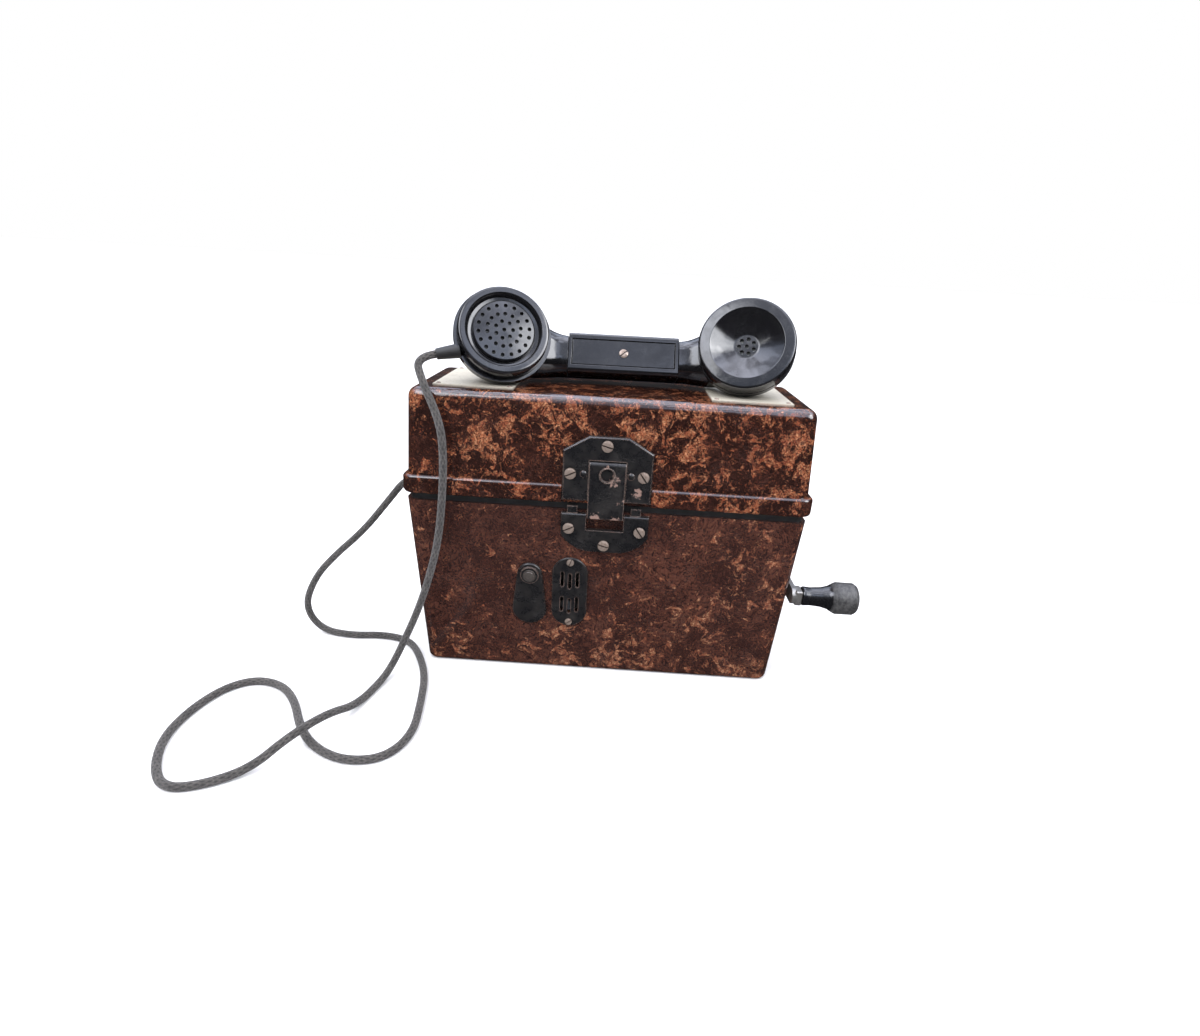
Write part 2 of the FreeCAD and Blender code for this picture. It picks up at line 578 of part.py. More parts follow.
def lid_upper():
    """The lid above its rim."""
    low, high = (LID_FOOT_WIDTH, LID_FOOT_DEPTH, CORNER), (LID_TOP_WIDTH, LID_TOP_DEPTH, CORNER)
    return tapered(low, high, RIM_TOP, LID_TOP)


def hinge_pin(side):
    x, half = side * HINGE_X, HINGE_WIDTH / 2 + 0.6
    return rod(HINGE_PIN_RADIUS, V(x - half, HINGE_Y, HINGE_Z), V(x + half, HINGE_Y, HINGE_Z))


def hinge_screws(level):
    out = []
    for x, z in hinge_screw_places(level):
        body = screw(0, 0, 0, HINGE_SCREW_RADIUS, 1.2, 7.0, 20)
        out.append(along(body, Y_AXIS, V(x, LEAF_FACE_Y, z)))
    return out


# Latch

def upper_plate():
    """The plate on the lid, with the channel that the hasp lies in."""
    outline = [(-LATCH_HALF, UPPER_LOW), (LATCH_HALF, UPPER_LOW), (LATCH_HALF, UPPER_SHOULDER),
               (UPPER_TOP_HALF, UPPER_TOP), (-UPPER_TOP_HALF, UPPER_TOP), (-LATCH_HALF, UPPER_SHOULDER)]
    plate = prism([(x, z - RIM_TOP) for x, z in outline], 0, LATCH_THICK)
    rim = edges_where(plate, lambda p: abs(p.z - LATCH_THICK) < 0.01)
    plate = plate.makeChamfer(LATCH_EDGE, rim)
    half = HASP_WIDTH / 2 + SLIP
    pin_up = HASP_PIN_Z - RIM_TOP
    channel_top = pin_up + HASP_KNUCKLE + FACE_GAP
    reach = half + HASP_PIN_SEAT
    cuts = [
        box(-half, half, UPPER_LOW - RIM_TOP - 1, channel_top, -1, LATCH_THICK + 1),
        rod(HASP_PIN_RADIUS, V(-reach, pin_up, HASP_PIN_OUT), V(reach, pin_up, HASP_PIN_OUT)),
    ]
    cuts += [screw_hole(x, z, LATCH_THICK) for x, z, _ in UPPER_SCREWS]
    plate = plate.cut(cuts)
    room = box(-LATCH_HALF, LATCH_HALF, -60, 60, LATCH_THICK - 1.0, LATCH_THICK + STUD_RADIUS)
    studs = []
    for side in (-1, 1):
        spot = V(side * (half + STUD_RADIUS + 0.4), DIMPLE_Z - RIM_TOP, LATCH_THICK - 1.9)
        studs.append(Part.makeSphere(STUD_RADIUS, spot).common(room))
    return on_lid(plate.fuse(studs))


def hasp():
    """The hasp, with the knuckle for its pin, its thumb hollow and the toe that catches in the case."""
    half = HASP_WIDTH / 2
    front = LATCH_THICK + HASP_PROUD
    pin_up, dimple_up = HASP_PIN_Z - RIM_TOP, DIMPLE_Z - RIM_TOP
    plate = box(-half, half, HASP_LOW - RIM_TOP, pin_up, HASP_BACK, front)
    edges = edges_where(plate, lambda p: abs(p.z - front) < 0.01 and p.y < pin_up - 0.01)
    plate = plate.makeChamfer(0.6, edges)
    knuckle_rod = rod(HASP_KNUCKLE, V(-half, pin_up, HASP_PIN_OUT), V(half, pin_up, HASP_PIN_OUT))
    toe_back = HASP_BACK - TOE_REACH - 1.6
    toe = box(-TOE_HALF, TOE_HALF, TOE_LOW - RIM_TOP, TOE_TOP - RIM_TOP, toe_back, HASP_BACK + 0.5)
    ring = Part.makeCylinder(DIMPLE_RADIUS + DIMPLE_RING, 0.5, V(0, dimple_up, front))
    body = plate.fuse([knuckle_rod, toe, ring])
    cuts = [
        rod(HASP_PIN_RADIUS + RUNNING, V(-half - 1, pin_up, HASP_PIN_OUT), V(half + 1, pin_up, HASP_PIN_OUT)),
        Part.makeCylinder(DIMPLE_RADIUS, 5.0, V(0, dimple_up, front - 1.6)),
    ]
    return on_lid(body.cut(cuts))


def hasp_pin():
    half = HASP_WIDTH / 2 + SLIP + HASP_PIN_SEAT
    pin_up = HASP_PIN_Z - RIM_TOP
    return on_lid(rod(HASP_PIN_RADIUS, V(-half, pin_up, HASP_PIN_OUT), V(half, pin_up, HASP_PIN_OUT)))


def hasp_spring():
    """A flat spring under the hasp, seated in the pocket of the lid."""
    low, top = SPRING_LOW - RIM_TOP, SPRING_TOP - RIM_TOP
    middle = (low + top) / 2
    leaf = prism([(-2.2, low), (-1.7, low), (-1.0, middle), (-1.7, top), (-2.2, top), (-1.5, middle)], -4.0, 4.0)
    leaf.rotate(V(0, 0, 0), Y_AXIS, 90)
    return on_lid(leaf)


def lower_plate():
    """The keeper plate on the case, with its notch and its two turned-up ears."""
    half = LATCH_HALF
    low_half = 10.0
    bulge_x, bulge_z = 21.3, LOWER_SIDE - 8.6
    corners = [V(half, LOWER_SIDE, 0), V(half, LOWER_TOP, 0), V(-half, LOWER_TOP, 0), V(-half, LOWER_SIDE, 0)]
    low_l, low_r = V(-low_half, LOWER_BOTTOM, 0), V(low_half, LOWER_BOTTOM, 0)
    wire = Part.Wire([
        Part.makePolygon(corners),
        Part.Arc(corners[3], V(-bulge_x, bulge_z, 0), low_l).toShape(),
        Part.makeLine(low_l, low_r),
        Part.Arc(low_r, V(bulge_x, bulge_z, 0), corners[0]).toShape(),
    ])
    plate = Part.Face(wire).extrude(V(0, 0, LATCH_THICK))
    plate = plate.makeChamfer(LATCH_EDGE, edges_where(plate, lambda p: abs(p.z - LATCH_THICK) < 0.01))
    notch = HASP_WIDTH / 2 + 0.5
    ears = [box(x0, x1, LOWER_TOP - 0.5, RIM_LOW - 1.2, 0.8, 2.4) for x0, x1 in EARS]
    cuts = [box(-notch, notch, NOTCH_LOW, LOWER_TOP + 1, -1, LATCH_THICK + 1)]
    cuts += [screw_hole(x, z, LATCH_THICK) for x, z, _ in LOWER_SCREWS]
    return on_case(plate.fuse(ears).cut(cuts))


# Sound plate and swivel cover

def stadium(x, y, width, height, z0, z1):
    """An upright outline with round ends."""
    r = width / 2
    straight = height / 2 - r
    wire = Part.Wire([
        Part.makeLine(V(x + r, y - straight, z0), V(x + r, y + straight, z0)),
        Part.Arc(V(x + r, y + straight, z0), V(x, y + straight + r, z0), V(x - r, y + straight, z0)).toShape(),
        Part.makeLine(V(x - r, y + straight, z0), V(x - r, y - straight, z0)),
        Part.Arc(V(x - r, y - straight, z0), V(x, y - straight - r, z0), V(x + r, y - straight, z0)).toShape(),
    ])
    return Part.Face(wire).extrude(V(0, 0, z1 - z0))


def sound_plate():
    """The louvred plate before the bells: two rows of three slots with pressed hoods."""
    plate = stadium(SOUND_X, SOUND_Z, SOUND_WIDTH, SOUND_HEIGHT, 0, SOUND_THICK)
    plate = plate.makeChamfer(0.5, edges_where(plate, lambda p: abs(p.z - SOUND_THICK) < 0.01))
    cuts = [screw_hole(x, z, SOUND_THICK, SHEET_SCREW_RADIUS, 6.0) for x, z, _ in SOUND_SCREWS]
    for row in (-1, 1):
        for i in (-1, 0, 1):
            y = SOUND_Z + row * SLOT_ROW + 0.5 - (1.5 if i == 0 else 0.0)
            cuts.append(stadium(SOUND_X + i * SLOT_PITCH, y, SLOT_WIDTH, SLOT_HEIGHT, -1, SOUND_THICK + 1))
    return on_case(plate.cut(cuts))


def swivel_cover():
    """The drop-shaped cover that hangs from its pivot over the jack."""
    r0, r1 = COVER_TOP_RADIUS, COVER_EYE_RADIUS
    span = COVER_PIVOT_Z - COVER_EYE_Z
    lean = math.asin((r1 - r0) / span)
    c, s = math.cos(lean), math.sin(lean)
    x = COVER_X
    top_r, top_l = V(x + r0 * c, COVER_PIVOT_Z + r0 * s, 0), V(x - r0 * c, COVER_PIVOT_Z + r0 * s, 0)
    low_r, low_l = V(x + r1 * c, COVER_EYE_Z + r1 * s, 0), V(x - r1 * c, COVER_EYE_Z + r1 * s, 0)
    wire = Part.Wire([
        Part.Arc(top_r, V(x, COVER_PIVOT_Z + r0, 0), top_l).toShape(),
        Part.makeLine(top_l, low_l),
        Part.Arc(low_l, V(x, COVER_EYE_Z - r1, 0), low_r).toShape(),
        Part.makeLine(low_r, top_r),
    ])
    lid = Part.Face(wire).extrude(V(0, 0, COVER_THICK))
    lid = lid.makeChamfer(0.7, edges_where(lid, lambda p: abs(p.z - COVER_THICK) < 0.01))
    lid.translate(V(0, 0, FACE_GAP))
    hub = Part.makeCylinder(COVER_HUB_RADIUS, COVER_HUB_HEIGHT, V(x, COVER_PIVOT_Z, COVER_THICK + FACE_GAP))
    bore = Part.makeCylinder(PIVOT_RADIUS + RUNNING, 20, V(x, COVER_PIVOT_Z, -5))
    return on_case(lid.fuse(hub).cut(bore))


def cover_pivot():
    """The shouldered screw that the cover turns on."""
    top = COVER_THICK + FACE_GAP + COVER_HUB_HEIGHT + 0.1
    body = turned([(0, -5.0), (PIVOT_RADIUS, -5.0), (PIVOT_RADIUS, top), (4.6, top), (4.6, top + 0.7),
                   (3.4, top + 0.7), (3.4, top + 1.2), (2.0, top + 1.7), (0, top + 1.7)])
    body.translate(V(COVER_X, COVER_PIVOT_Z, 0))
    return on_case(body)


def jack_socket():
    """The socket behind the cover: a flanged barrel with a stepped bore."""
    body = turned([(JACK_BORE, -JACK_LENGTH), (JACK_BARREL, -JACK_LENGTH), (JACK_BARREL, -JACK_FLANGE_THICK),
                   (JACK_FLANGE, -JACK_FLANGE_THICK), (JACK_FLANGE, 0.0), (JACK_BORE, 0.0)])
    body.translate(V(COVER_X, COVER_EYE_Z, 0))
    return on_case(body)


# Inner panel and what stands on it

def inner_panel():
    """The deck that closes the works off from the space for the handset."""
    width = 2 * (case_half_width(PANEL_Z) - CASE_WALL - PANEL_PLAY)
    depth = 2 * (case_half_depth(PANEL_Z) - CASE_WALL - PANEL_PLAY)
    size = (width, depth, CORNER - CASE_WALL)
    deck = tapered(size, size, PANEL_Z, PANEL_Z + PANEL_THICK)
    cuts = [screw_hole(x, y, PANEL_Z + PANEL_THICK, PANEL_SCREW_RADIUS, 9.0) for x, y in boss_places()]
    cuts += [Part.makeCylinder(TERMINAL_RADIUS, 10, V(x, TERMINAL_Y, PANEL_Z - 3)) for x in terminal_places()]
    tail_x, tail_y, _ = TAIL_ROUTE[-1]
    cuts.append(Part.makeCylinder(CORD_RADIUS + FACE_GAP, 10, V(tail_x, tail_y, PANEL_Z - 3)))
    return deck.cut(cuts)


def terminal_places():
    return [TERMINAL_X + i * TERMINAL_PITCH for i in range(3)]


def case_screws():
    """The screws of the keeper, the sound plate, the deck and the lower hinge leaves."""
    top = PANEL_Z + PANEL_THICK
    deck = [screw(x, y, top, PANEL_SCREW_RADIUS, 1.4, 9.0, 15 + 40 * i)
            for i, (x, y) in enumerate(boss_places())]
    keeper = [on_case(screw(x, z, LATCH_THICK, angle=a)) for x, z, a in LOWER_SCREWS]
    sound = [on_case(screw(x, z, SOUND_THICK, SHEET_SCREW_RADIUS, 1.2, 6.0, a)) for x, z, a in SOUND_SCREWS]
    return group(deck + keeper + sound + hinge_screws(-1))


def lid_screws():
    """The screws in the lid: three in the latch plate and four in the hinges."""
    latch = [on_lid(screw(x, z, LATCH_THICK, angle=a)) for x, z, a in UPPER_SCREWS]
    return group(latch + hinge_screws(1))


def terminal_posts():
    """Three threaded posts with a collar."""
    top = PANEL_Z + PANEL_THICK
    r = TERMINAL_RADIUS
    posts = []
    for x in terminal_places():
        post = turned([(0, -6), (r, -6), (r, 0), (4.5, 0), (4.5, 2), (r, 2), (r, 11), (0, 11)])
        post.translate(V(x, TERMINAL_Y, top))
        posts.append(post)
    return posts


def terminal_nuts():
    """Round nuts on the posts, clear of the thread."""
    top = PANEL_Z + PANEL_THICK
    nuts = []
    for x in terminal_places():
        nut = turned([(TERMINAL_RADIUS, 2.3), (5.5, 2.3), (5.5, 7.5), (4.8, 8.2), (TERMINAL_RADIUS, 8.2)])
        nut.translate(V(x, TERMINAL_Y, top))
        nuts.append(nut)
    return nuts


def handset_rests():
    """Two blocks on the deck with a hollow for each end of the stowed handset."""
    deck = PANEL_Z + PANEL_THICK
    middle, rise = (REST_Y0 + REST_Y1) / 2, deck + REST_HOLLOW_RISE
    out = []
    for side in (-1, 1):
        x0, x1 = side * REST_X - REST_WIDTH / 2, side * REST_X + REST_WIDTH / 2
        block = box(x0, x1, REST_Y0, REST_Y1, deck, deck + REST_HEIGHT)
        hollow = rod(REST_HOLLOW, V(x0 - 1, middle, rise), V(x1 + 1, middle, rise))
        out.append(block.cut(hollow))
    return group(out)


# Hand generator

def gear_wheel(teeth, width, module, backlash, turn):
    """An involute spur gear about Z, its tooth on +X turned by an angle in degrees."""
    pitch = module * teeth / 2
    pressure = math.radians(20)
    base = pitch * math.cos(pressure)
    tip, root = pitch + module * 0.95, pitch - module * 1.25
    half_tooth = math.pi / (2 * teeth) - backlash / (2 * pitch) + math.tan(pressure) - pressure
    start = max(base, root)
    points = []
    for i in range(teeth):
        middle = 2 * math.pi * i / teeth + math.radians(turn)
        flank = []
        for k in range(4):
            radius = start + (tip - start) * k / 3
            roll = math.acos(min(1.0, base / radius))
            flank.append((radius, half_tooth - (math.tan(roll) - roll)))
        gap = math.pi / teeth
        foot = (root, min(gap * 0.98, flank[0][1] + 0.02))
        ring = [(r, -a) for r, a in [foot] + flank] + [(r, a) for r, a in reversed([foot] + flank)]
        points += [(r * math.cos(middle + a), r * math.sin(middle + a)) for r, a in ring]
    return prism(points, 0, width)


def laid(shape, x, y, z):
    """Lays a wheel that was made about Z along +X."""
    moved = shape.copy()
    moved.Placement = FreeCAD.Placement(V(x, y, z), FreeCAD.Rotation(Y_AXIS, 90))
    return moved


def mesh_angle():
    """Direction from the gear to the pinion, in the plane of the laid wheels."""
    return math.degrees(math.atan2(ARMATURE_Y - CRANK_Y, CRANK_Z - ARMATURE_Z))


def drive_gear():
    wheel = gear_wheel(GEAR_TEETH, GEAR_WIDTH, GEAR_MODULE, GEAR_BACKLASH, mesh_angle())
    holes = [Part.makeCylinder(6.0, GEAR_WIDTH, V(18 * math.cos(a), 18 * math.sin(a), 0))
             for a in (math.radians(60 * i) for i in range(6))]
    wheel = wheel.cut(holes + [Part.makeCylinder(SHAFT_RADIUS, GEAR_WIDTH)])
    return laid(wheel, GEAR_X, CRANK_Y, CRANK_Z)


def armature_pinion():
    half_pitch = 180.0 / PINION_TEETH
    wheel = gear_wheel(PINION_TEETH, GEAR_WIDTH, GEAR_MODULE, GEAR_BACKLASH, mesh_angle() + 180 + half_pitch)
    wheel = wheel.cut(Part.makeCylinder(ARMATURE_SHAFT, GEAR_WIDTH))
    return laid(wheel, GEAR_X, ARMATURE_Y, ARMATURE_Z)


def crank_shaft():
    return rod(SHAFT_RADIUS, V(FRAME_X1 + 0.4, CRANK_Y, CRANK_Z), V(ARM_X1 + 1.2, CRANK_Y, CRANK_Z))


def shaft_bush():
    """The flanged bush in the wall of the case."""
    wall = case_half_width(CRANK_Z)
    start, end, bore = wall - CASE_WALL - 2.5, HUB_X - FACE_GAP, SHAFT_RADIUS + RUNNING
    body = turned([(bore, start), (BUSH_RADIUS, start), (BUSH_RADIUS, end), (bore, end)])
    return laid(body, 0, CRANK_Y, CRANK_Z)


def generator_frame():
    """Two end plates with feet and the pole blocks between them."""
    wide = POLE_THICK + ROTOR_RADIUS + ROTOR_GAP
    near, far = ARMATURE_Y - wide, ARMATURE_Y + wide
    parts_of_frame = [
        box(FRAME_X0 - FRAME_PLATE, FRAME_X0, near, far, CASE_WALL, ARMATURE_Z + POLE_HALF + 2),
        box(FRAME_X1, FRAME_X1 + FRAME_PLATE, near, far, CASE_WALL, CRANK_Z + 12),
        box(FRAME_X0 - 12, FRAME_X0, near, far, CASE_WALL, CASE_WALL + FRAME_PLATE),
        box(FRAME_X0, FRAME_X1, ARMATURE_Y - 8, ARMATURE_Y + 8, CASE_WALL, CASE_WALL + FRAME_PLATE),
        box(FRAME_X0, FRAME_X1, near, ARMATURE_Y - 5, ARMATURE_Z - POLE_HALF, ARMATURE_Z + POLE_HALF),
        box(FRAME_X0, FRAME_X1, ARMATURE_Y + 5, far, ARMATURE_Z - POLE_HALF, ARMATURE_Z + POLE_HALF),
    ]
    body = parts_of_frame[0].fuse(parts_of_frame[1:])
    x0, x1 = FRAME_X0 - 2 * FRAME_PLATE, FRAME_X1 + 2 * FRAME_PLATE
    return body.cut([
        rod(ROTOR_RADIUS + ROTOR_GAP, V(FRAME_X0, ARMATURE_Y, ARMATURE_Z), V(FRAME_X1, ARMATURE_Y, ARMATURE_Z)),
        rod(ARMATURE_SHAFT + RUNNING, V(x0, ARMATURE_Y, ARMATURE_Z), V(x1, ARMATURE_Y, ARMATURE_Z)),
        rod(SHAFT_RADIUS + RUNNING, V(FRAME_X1 - 1, CRANK_Y, CRANK_Z), V(x1, CRANK_Y, CRANK_Z)),
    ])


def generator_magnets():
    """Three horseshoe magnets over the pole blocks."""
    inner = POLE_THICK + ROTOR_RADIUS + ROTOR_GAP
    outer = inner + MAGNET_THICK
    foot, spring = ARMATURE_Z - POLE_HALF, PANEL_Z - MAGNET_CLEAR - outer
    bars = []
    for i in range(3):
        x0 = FRAME_X0 + 2 + i * MAGNET_PITCH
        x1 = x0 + MAGNET_WIDTH
        big = rod(outer, V(x0, ARMATURE_Y, spring), V(x1, ARMATURE_Y, spring))
        big = big.fuse(box(x0, x1, ARMATURE_Y - outer, ARMATURE_Y + outer, foot, spring))
        small = rod(inner, V(x0, ARMATURE_Y, spring), V(x1, ARMATURE_Y, spring))
        small = small.fuse(box(x0, x1, ARMATURE_Y - inner, ARMATURE_Y + inner, 0, spring))
        below = box(x0 - 1, x1 + 1, ARMATURE_Y - outer - 1, ARMATURE_Y + outer + 1, 0, foot)
        bars.append(big.cut([small, below]))
    return group(bars)


def armature_core():
    """The shuttle core on its shaft, with a channel each side for the winding."""
    core = rod(ROTOR_RADIUS, V(ROTOR_X0, ARMATURE_Y, ARMATURE_Z), V(ROTOR_X1, ARMATURE_Y, ARMATURE_Z))
    core = core.cut(winding_channels(0.0))
    x0, x1 = FRAME_X0 - FRAME_PLATE - 3, GEAR_X + GEAR_WIDTH + 1
    return core.fuse(rod(ARMATURE_SHAFT, V(x0, ARMATURE_Y, ARMATURE_Z), V(x1, ARMATURE_Y, ARMATURE_Z)))


def winding_channels(inset):
    out = []
    for side in (-1, 1):
        z0, z1 = sorted((ARMATURE_Z + side * 4.0, ARMATURE_Z + side * (ROTOR_RADIUS - inset)))
        out.append(box(ROTOR_X0, ROTOR_X1, ARMATURE_Y - 7.5, ARMATURE_Y + 7.5, z0, z1))
    return out


def armature_winding():
    return group(winding_channels(2.6))


# Crank

def crank_arm():
    """The hub and the flat arm, with the square block that holds the grip's spindle."""
    hub = rod(HUB_RADIUS, V(HUB_X, CRANK_Y, CRANK_Z), V(ARM_X1, CRANK_Y, CRANK_Z))
    half = ARM_WIDTH / 2
    arm = box(ARM_X0, ARM_X1, GRIP_Y, CRANK_Y, CRANK_Z - half, CRANK_Z + half)
    end = rod(half, V(ARM_X0, GRIP_Y, CRANK_Z), V(ARM_X1, GRIP_Y, CRANK_Z))
    side = half - 0.4
    block = box(ARM_X1 - 1.0, BLOCK_X1, GRIP_Y - side, GRIP_Y + side, CRANK_Z - side, CRANK_Z + side)
    block = block.makeChamfer(0.8, block.Edges)
    body = hub.fuse([arm, end, block])
    return body.cut([
        rod(SHAFT_RADIUS, V(HUB_X - 1, CRANK_Y, CRANK_Z), V(BLOCK_X1 + 1, CRANK_Y, CRANK_Z)),
        rod(SPINDLE_RADIUS, V(ARM_X0, GRIP_Y, CRANK_Z), V(BLOCK_X1 + 1, GRIP_Y, CRANK_Z)),
    ])


def crank_spindle():
    """The pin that the grip turns on, with a head that keeps the grip on it."""
    end = BLOCK_X1 + FACE_GAP + GRIP_LENGTH
    pin = rod(SPINDLE_RADIUS, V(ARM_X0, GRIP_Y, CRANK_Z), V(end - 6.0, GRIP_Y, CRANK_Z))
    head = rod(SPINDLE_RADIUS + SPINDLE_HEAD, V(end - 6.0, GRIP_Y, CRANK_Z), V(end - 4.0, GRIP_Y, CRANK_Z))
    return pin.fuse(head)


def crank_grip():
    """The turned grip: a slim neck that opens into a bell."""
    n, b, g = GRIP_NECK, GRIP_BELL, GRIP_LENGTH
    bore = SPINDLE_RADIUS + RUNNING
    body = turned([(bore, 0), (n, 0), (n + 0.6, 1.2), (n + 0.2, 6.0), (n + 0.8, 14.0), (n + 2.2, 19.0),
                   (b - 1.2, 22.0), (b, 24.5), (b, g - 3.0), (b - 1.4, g - 0.8), (b - 3.0, g), (bore + 2.6, g),
                   (bore + 2.6, g - 6.2), (bore, g - 6.2)])
    return laid(body, BLOCK_X1 + FACE_GAP, GRIP_Y, CRANK_Z)


def hub_nut():
    """The nut that holds the arm on its shaft."""
    body = turned([(0, 0), (5.2, 0), (5.2, 1.6), (3.6, 2.6), (0, 2.6)])
    return laid(body, ARM_X1 + 1.2, CRANK_Y, CRANK_Z)


# Ringer

def gong(side):
    """A shallow bell whose mouth faces the rear."""
    r, d, w = GONG_RADIUS, GONG_DEPTH, GONG_WALL
    body = turned([(2.5, 0), (r * 0.45, 0), (r * 0.8, d * 0.28), (r, d * 0.75), (r, d), (r - w, d),
                   (r - w, d * 0.8), (r * 0.8 - w, d * 0.28 + w), (r * 0.45, w), (2.5, w)])
    return along(body, Y_AXIS, V(GONG_X, GONG_FACE_Y, GONG_Z + side * GONG_SPREAD))


def gong_posts():
    """Posts from the yoke to the bells, each with the head that holds its bell."""
    out = []
    for side in (-1, 1):
        z = GONG_Z + side * GONG_SPREAD
        post = rod(2.5, V(GONG_X, GONG_FACE_Y, z), V(GONG_X, YOKE_Y, z))
        collar = rod(4.0, V(GONG_X, GONG_FACE_Y + GONG_WALL, z), V(GONG_X, GONG_FACE_Y + 6.0, z))
        head = rod(4.5, V(GONG_X, GONG_FACE_Y - 2.0, z), V(GONG_X, GONG_FACE_Y, z))
        out.append(post.fuse([collar, head]))
    return group(out)


def ringer_frame():
    """The yoke plate with its foot, and the two cheeks that hold the clapper's pin."""
    x0, x1 = GONG_X - 12, RINGER_X + 14
    plate = box(x0, x1, YOKE_Y, YOKE_Y + YOKE_THICK, CASE_WALL, GONG_Z + GONG_SPREAD + 8)
    foot = box(x0, x1, YOKE_Y - 20, YOKE_Y, CASE_WALL, CASE_WALL + YOKE_THICK)
    cheeks = [box(x, x + 1.5, 0, YOKE_Y, GONG_Z - 5, GONG_Z + 5) for x in (RINGER_X - 9.5, RINGER_X + 8.0)]
    pin = rod(CLAPPER_PIN, V(RINGER_X - 11, CLAPPER_Y, GONG_Z), V(RINGER_X + 11, CLAPPER_Y, GONG_Z))
    return plate.fuse([foot] + cheeks).cut(pin)


def ringer_coils():
    """Two coils on their bobbins, with the cores that reach towards the armature."""
    out = []
    for side in (-1, 1):
        z = GONG_Z + side * COIL_SPREAD
        core = rod(3.5, V(RINGER_X, 7.0, z), V(RINGER_X, YOKE_Y, z))
        coil = rod(COIL_RADIUS - 1, V(RINGER_X, 10.0, z), V(RINGER_X, YOKE_Y - 2, z))
        ends = [rod(COIL_RADIUS, V(RINGER_X, y, z), V(RINGER_X, y + 1.5, z)) for y in (9.0, YOKE_Y - 1.5)]
        out.append(core.fuse([coil] + ends))
    return group(out)


def clapper():
    """The rocking armature with the bent rod that carries the ball between the bells."""
    bar = box(RINGER_X - 6, RINGER_X + 6, CLAPPER_Y - 1.2, CLAPPER_Y + 1.2, GONG_Z - 22, GONG_Z + 22)
    hub = rod(3.0, V(RINGER_X - 6, CLAPPER_Y, GONG_Z), V(RINGER_X + 6, CLAPPER_Y, GONG_Z))
    tip = V(GONG_X, GONG_FACE_Y + 12.0, GONG_Z)
    wire = rod(1.0, V(RINGER_X, CLAPPER_Y, GONG_Z), tip)
    ball = Part.makeSphere(3.0, tip)
    bore = rod(CLAPPER_PIN + RUNNING, V(RINGER_X - 8, CLAPPER_Y, GONG_Z), V(RINGER_X + 8, CLAPPER_Y, GONG_Z))
    return bar.fuse([hub, wire, ball]).cut(bore)


def clapper_pin():
    return rod(CLAPPER_PIN, V(RINGER_X - 10.5, CLAPPER_Y, GONG_Z), V(RINGER_X + 10.5, CLAPPER_Y, GONG_Z))


# Battery and small parts

def battery_box():
    """The open sheet box that holds the two cells."""
    x, y, floor = CELL_RADIUS + BOX_PLAY, CELL_SPREAD + CELL_RADIUS + BOX_PLAY, CASE_WALL + BOX_WALL
    outer = box(CELL_X - x - BOX_WALL, CELL_X + x + BOX_WALL, -y - BOX_WALL, y + BOX_WALL,
                CASE_WALL, CASE_WALL + BOX_HEIGHT)
    return outer.cut(box(CELL_X - x, CELL_X + x, -y, y, floor, floor + BOX_HEIGHT))


def battery_cells():
    cells = []
    for side in (-1, 1):
        z0 = CASE_WALL + BOX_WALL
        h = CELL_HEIGHT
        cell = turned([(0, 0), (CELL_RADIUS, 0), (CELL_RADIUS, h - 3), (CELL_RADIUS - 1.5, h - 2), (4, h - 2),
                       (4, h), (0, h)])
        cell.translate(V(CELL_X, side * CELL_SPREAD, z0))
        cells.append(cell)
    return group(cells)


def capacitor_can():
    can = box(CAN_X0, CAN_X0 + CAN_WIDTH, CAN_Y0, CAN_Y1, CASE_WALL, CASE_WALL + CAN_HEIGHT)
    return can.makeFillet(1.5, edges_where(can, lambda p: p.z > CASE_WALL + 1))


def induction_bobbin():
    """The bobbin and iron core of the induction coil."""
    x, y, half, floor = INDUCTION_X, INDUCTION_Y, BOBBIN_HALF, CASE_WALL
    core = rod(BOBBIN_CORE, V(x, y, floor), V(x, y, floor + INDUCTION_HEIGHT + 4))
    ends = [box(x - half, x + half, y - half, y + half, z, z + BOBBIN_END)
            for z in (floor, floor + INDUCTION_HEIGHT - BOBBIN_END)]
    return core.fuse(ends)


def induction_winding():
    z0, z1 = CASE_WALL + BOBBIN_END, CASE_WALL + INDUCTION_HEIGHT - BOBBIN_END
    ring = turned([(BOBBIN_CORE, z0), (INDUCTION_RADIUS, z0), (INDUCTION_RADIUS, z1), (BOBBIN_CORE, z1)])
    ring.translate(V(INDUCTION_X, INDUCTION_Y, 0))
    return ring


# Handset

def cap_slope():
    """Upward part of a cap's axis once the handset lies on the lid."""
    return math.cos(math.radians(CAP_INWARD)) * math.sin(math.radians(HANDSET_TILT))


def handset_height():
    """Height of the handset's frame that rests the shoulders of its cups on the plates."""
    slope = cap_slope()
    drop = CUP_SHOULDER * slope + CUP_RADIUS * math.sqrt(1 - slope ** 2)
    return LID_TOP + PLATE_THICK + FACE_GAP + drop


def handset_spot():
    turn = FreeCAD.Rotation(Z_AXIS, HANDSET_YAW).multiply(FreeCAD.Rotation(X_AXIS, 90 - HANDSET_TILT))
    return FreeCAD.Placement(V(HANDSET_X, HANDSET_Y, handset_height()), turn)


def in_handset(shape):
    moved = shape.copy()
    moved.Placement = handset_spot().multiply(moved.Placement)
    return moved


def in_cup(shape, side):
    """Takes a piece made about Z, with the cap's face at z = 0, to one end of the handset."""
    moved = shape.copy()
    spot = FreeCAD.Placement(V(side * CAP_SPREAD, 0, 0), FreeCAD.Rotation(Y_AXIS, -side * CAP_INWARD))
    moved.Placement = spot.multiply(moved.Placement)
    return moved


def in_handle(shape):
    """Takes a piece of the handle, made about the handle's own middle, to its place."""
    moved = shape.copy()
    moved.translate(V(0, -HANDLE_DROP, 0))
    return in_handset(moved)


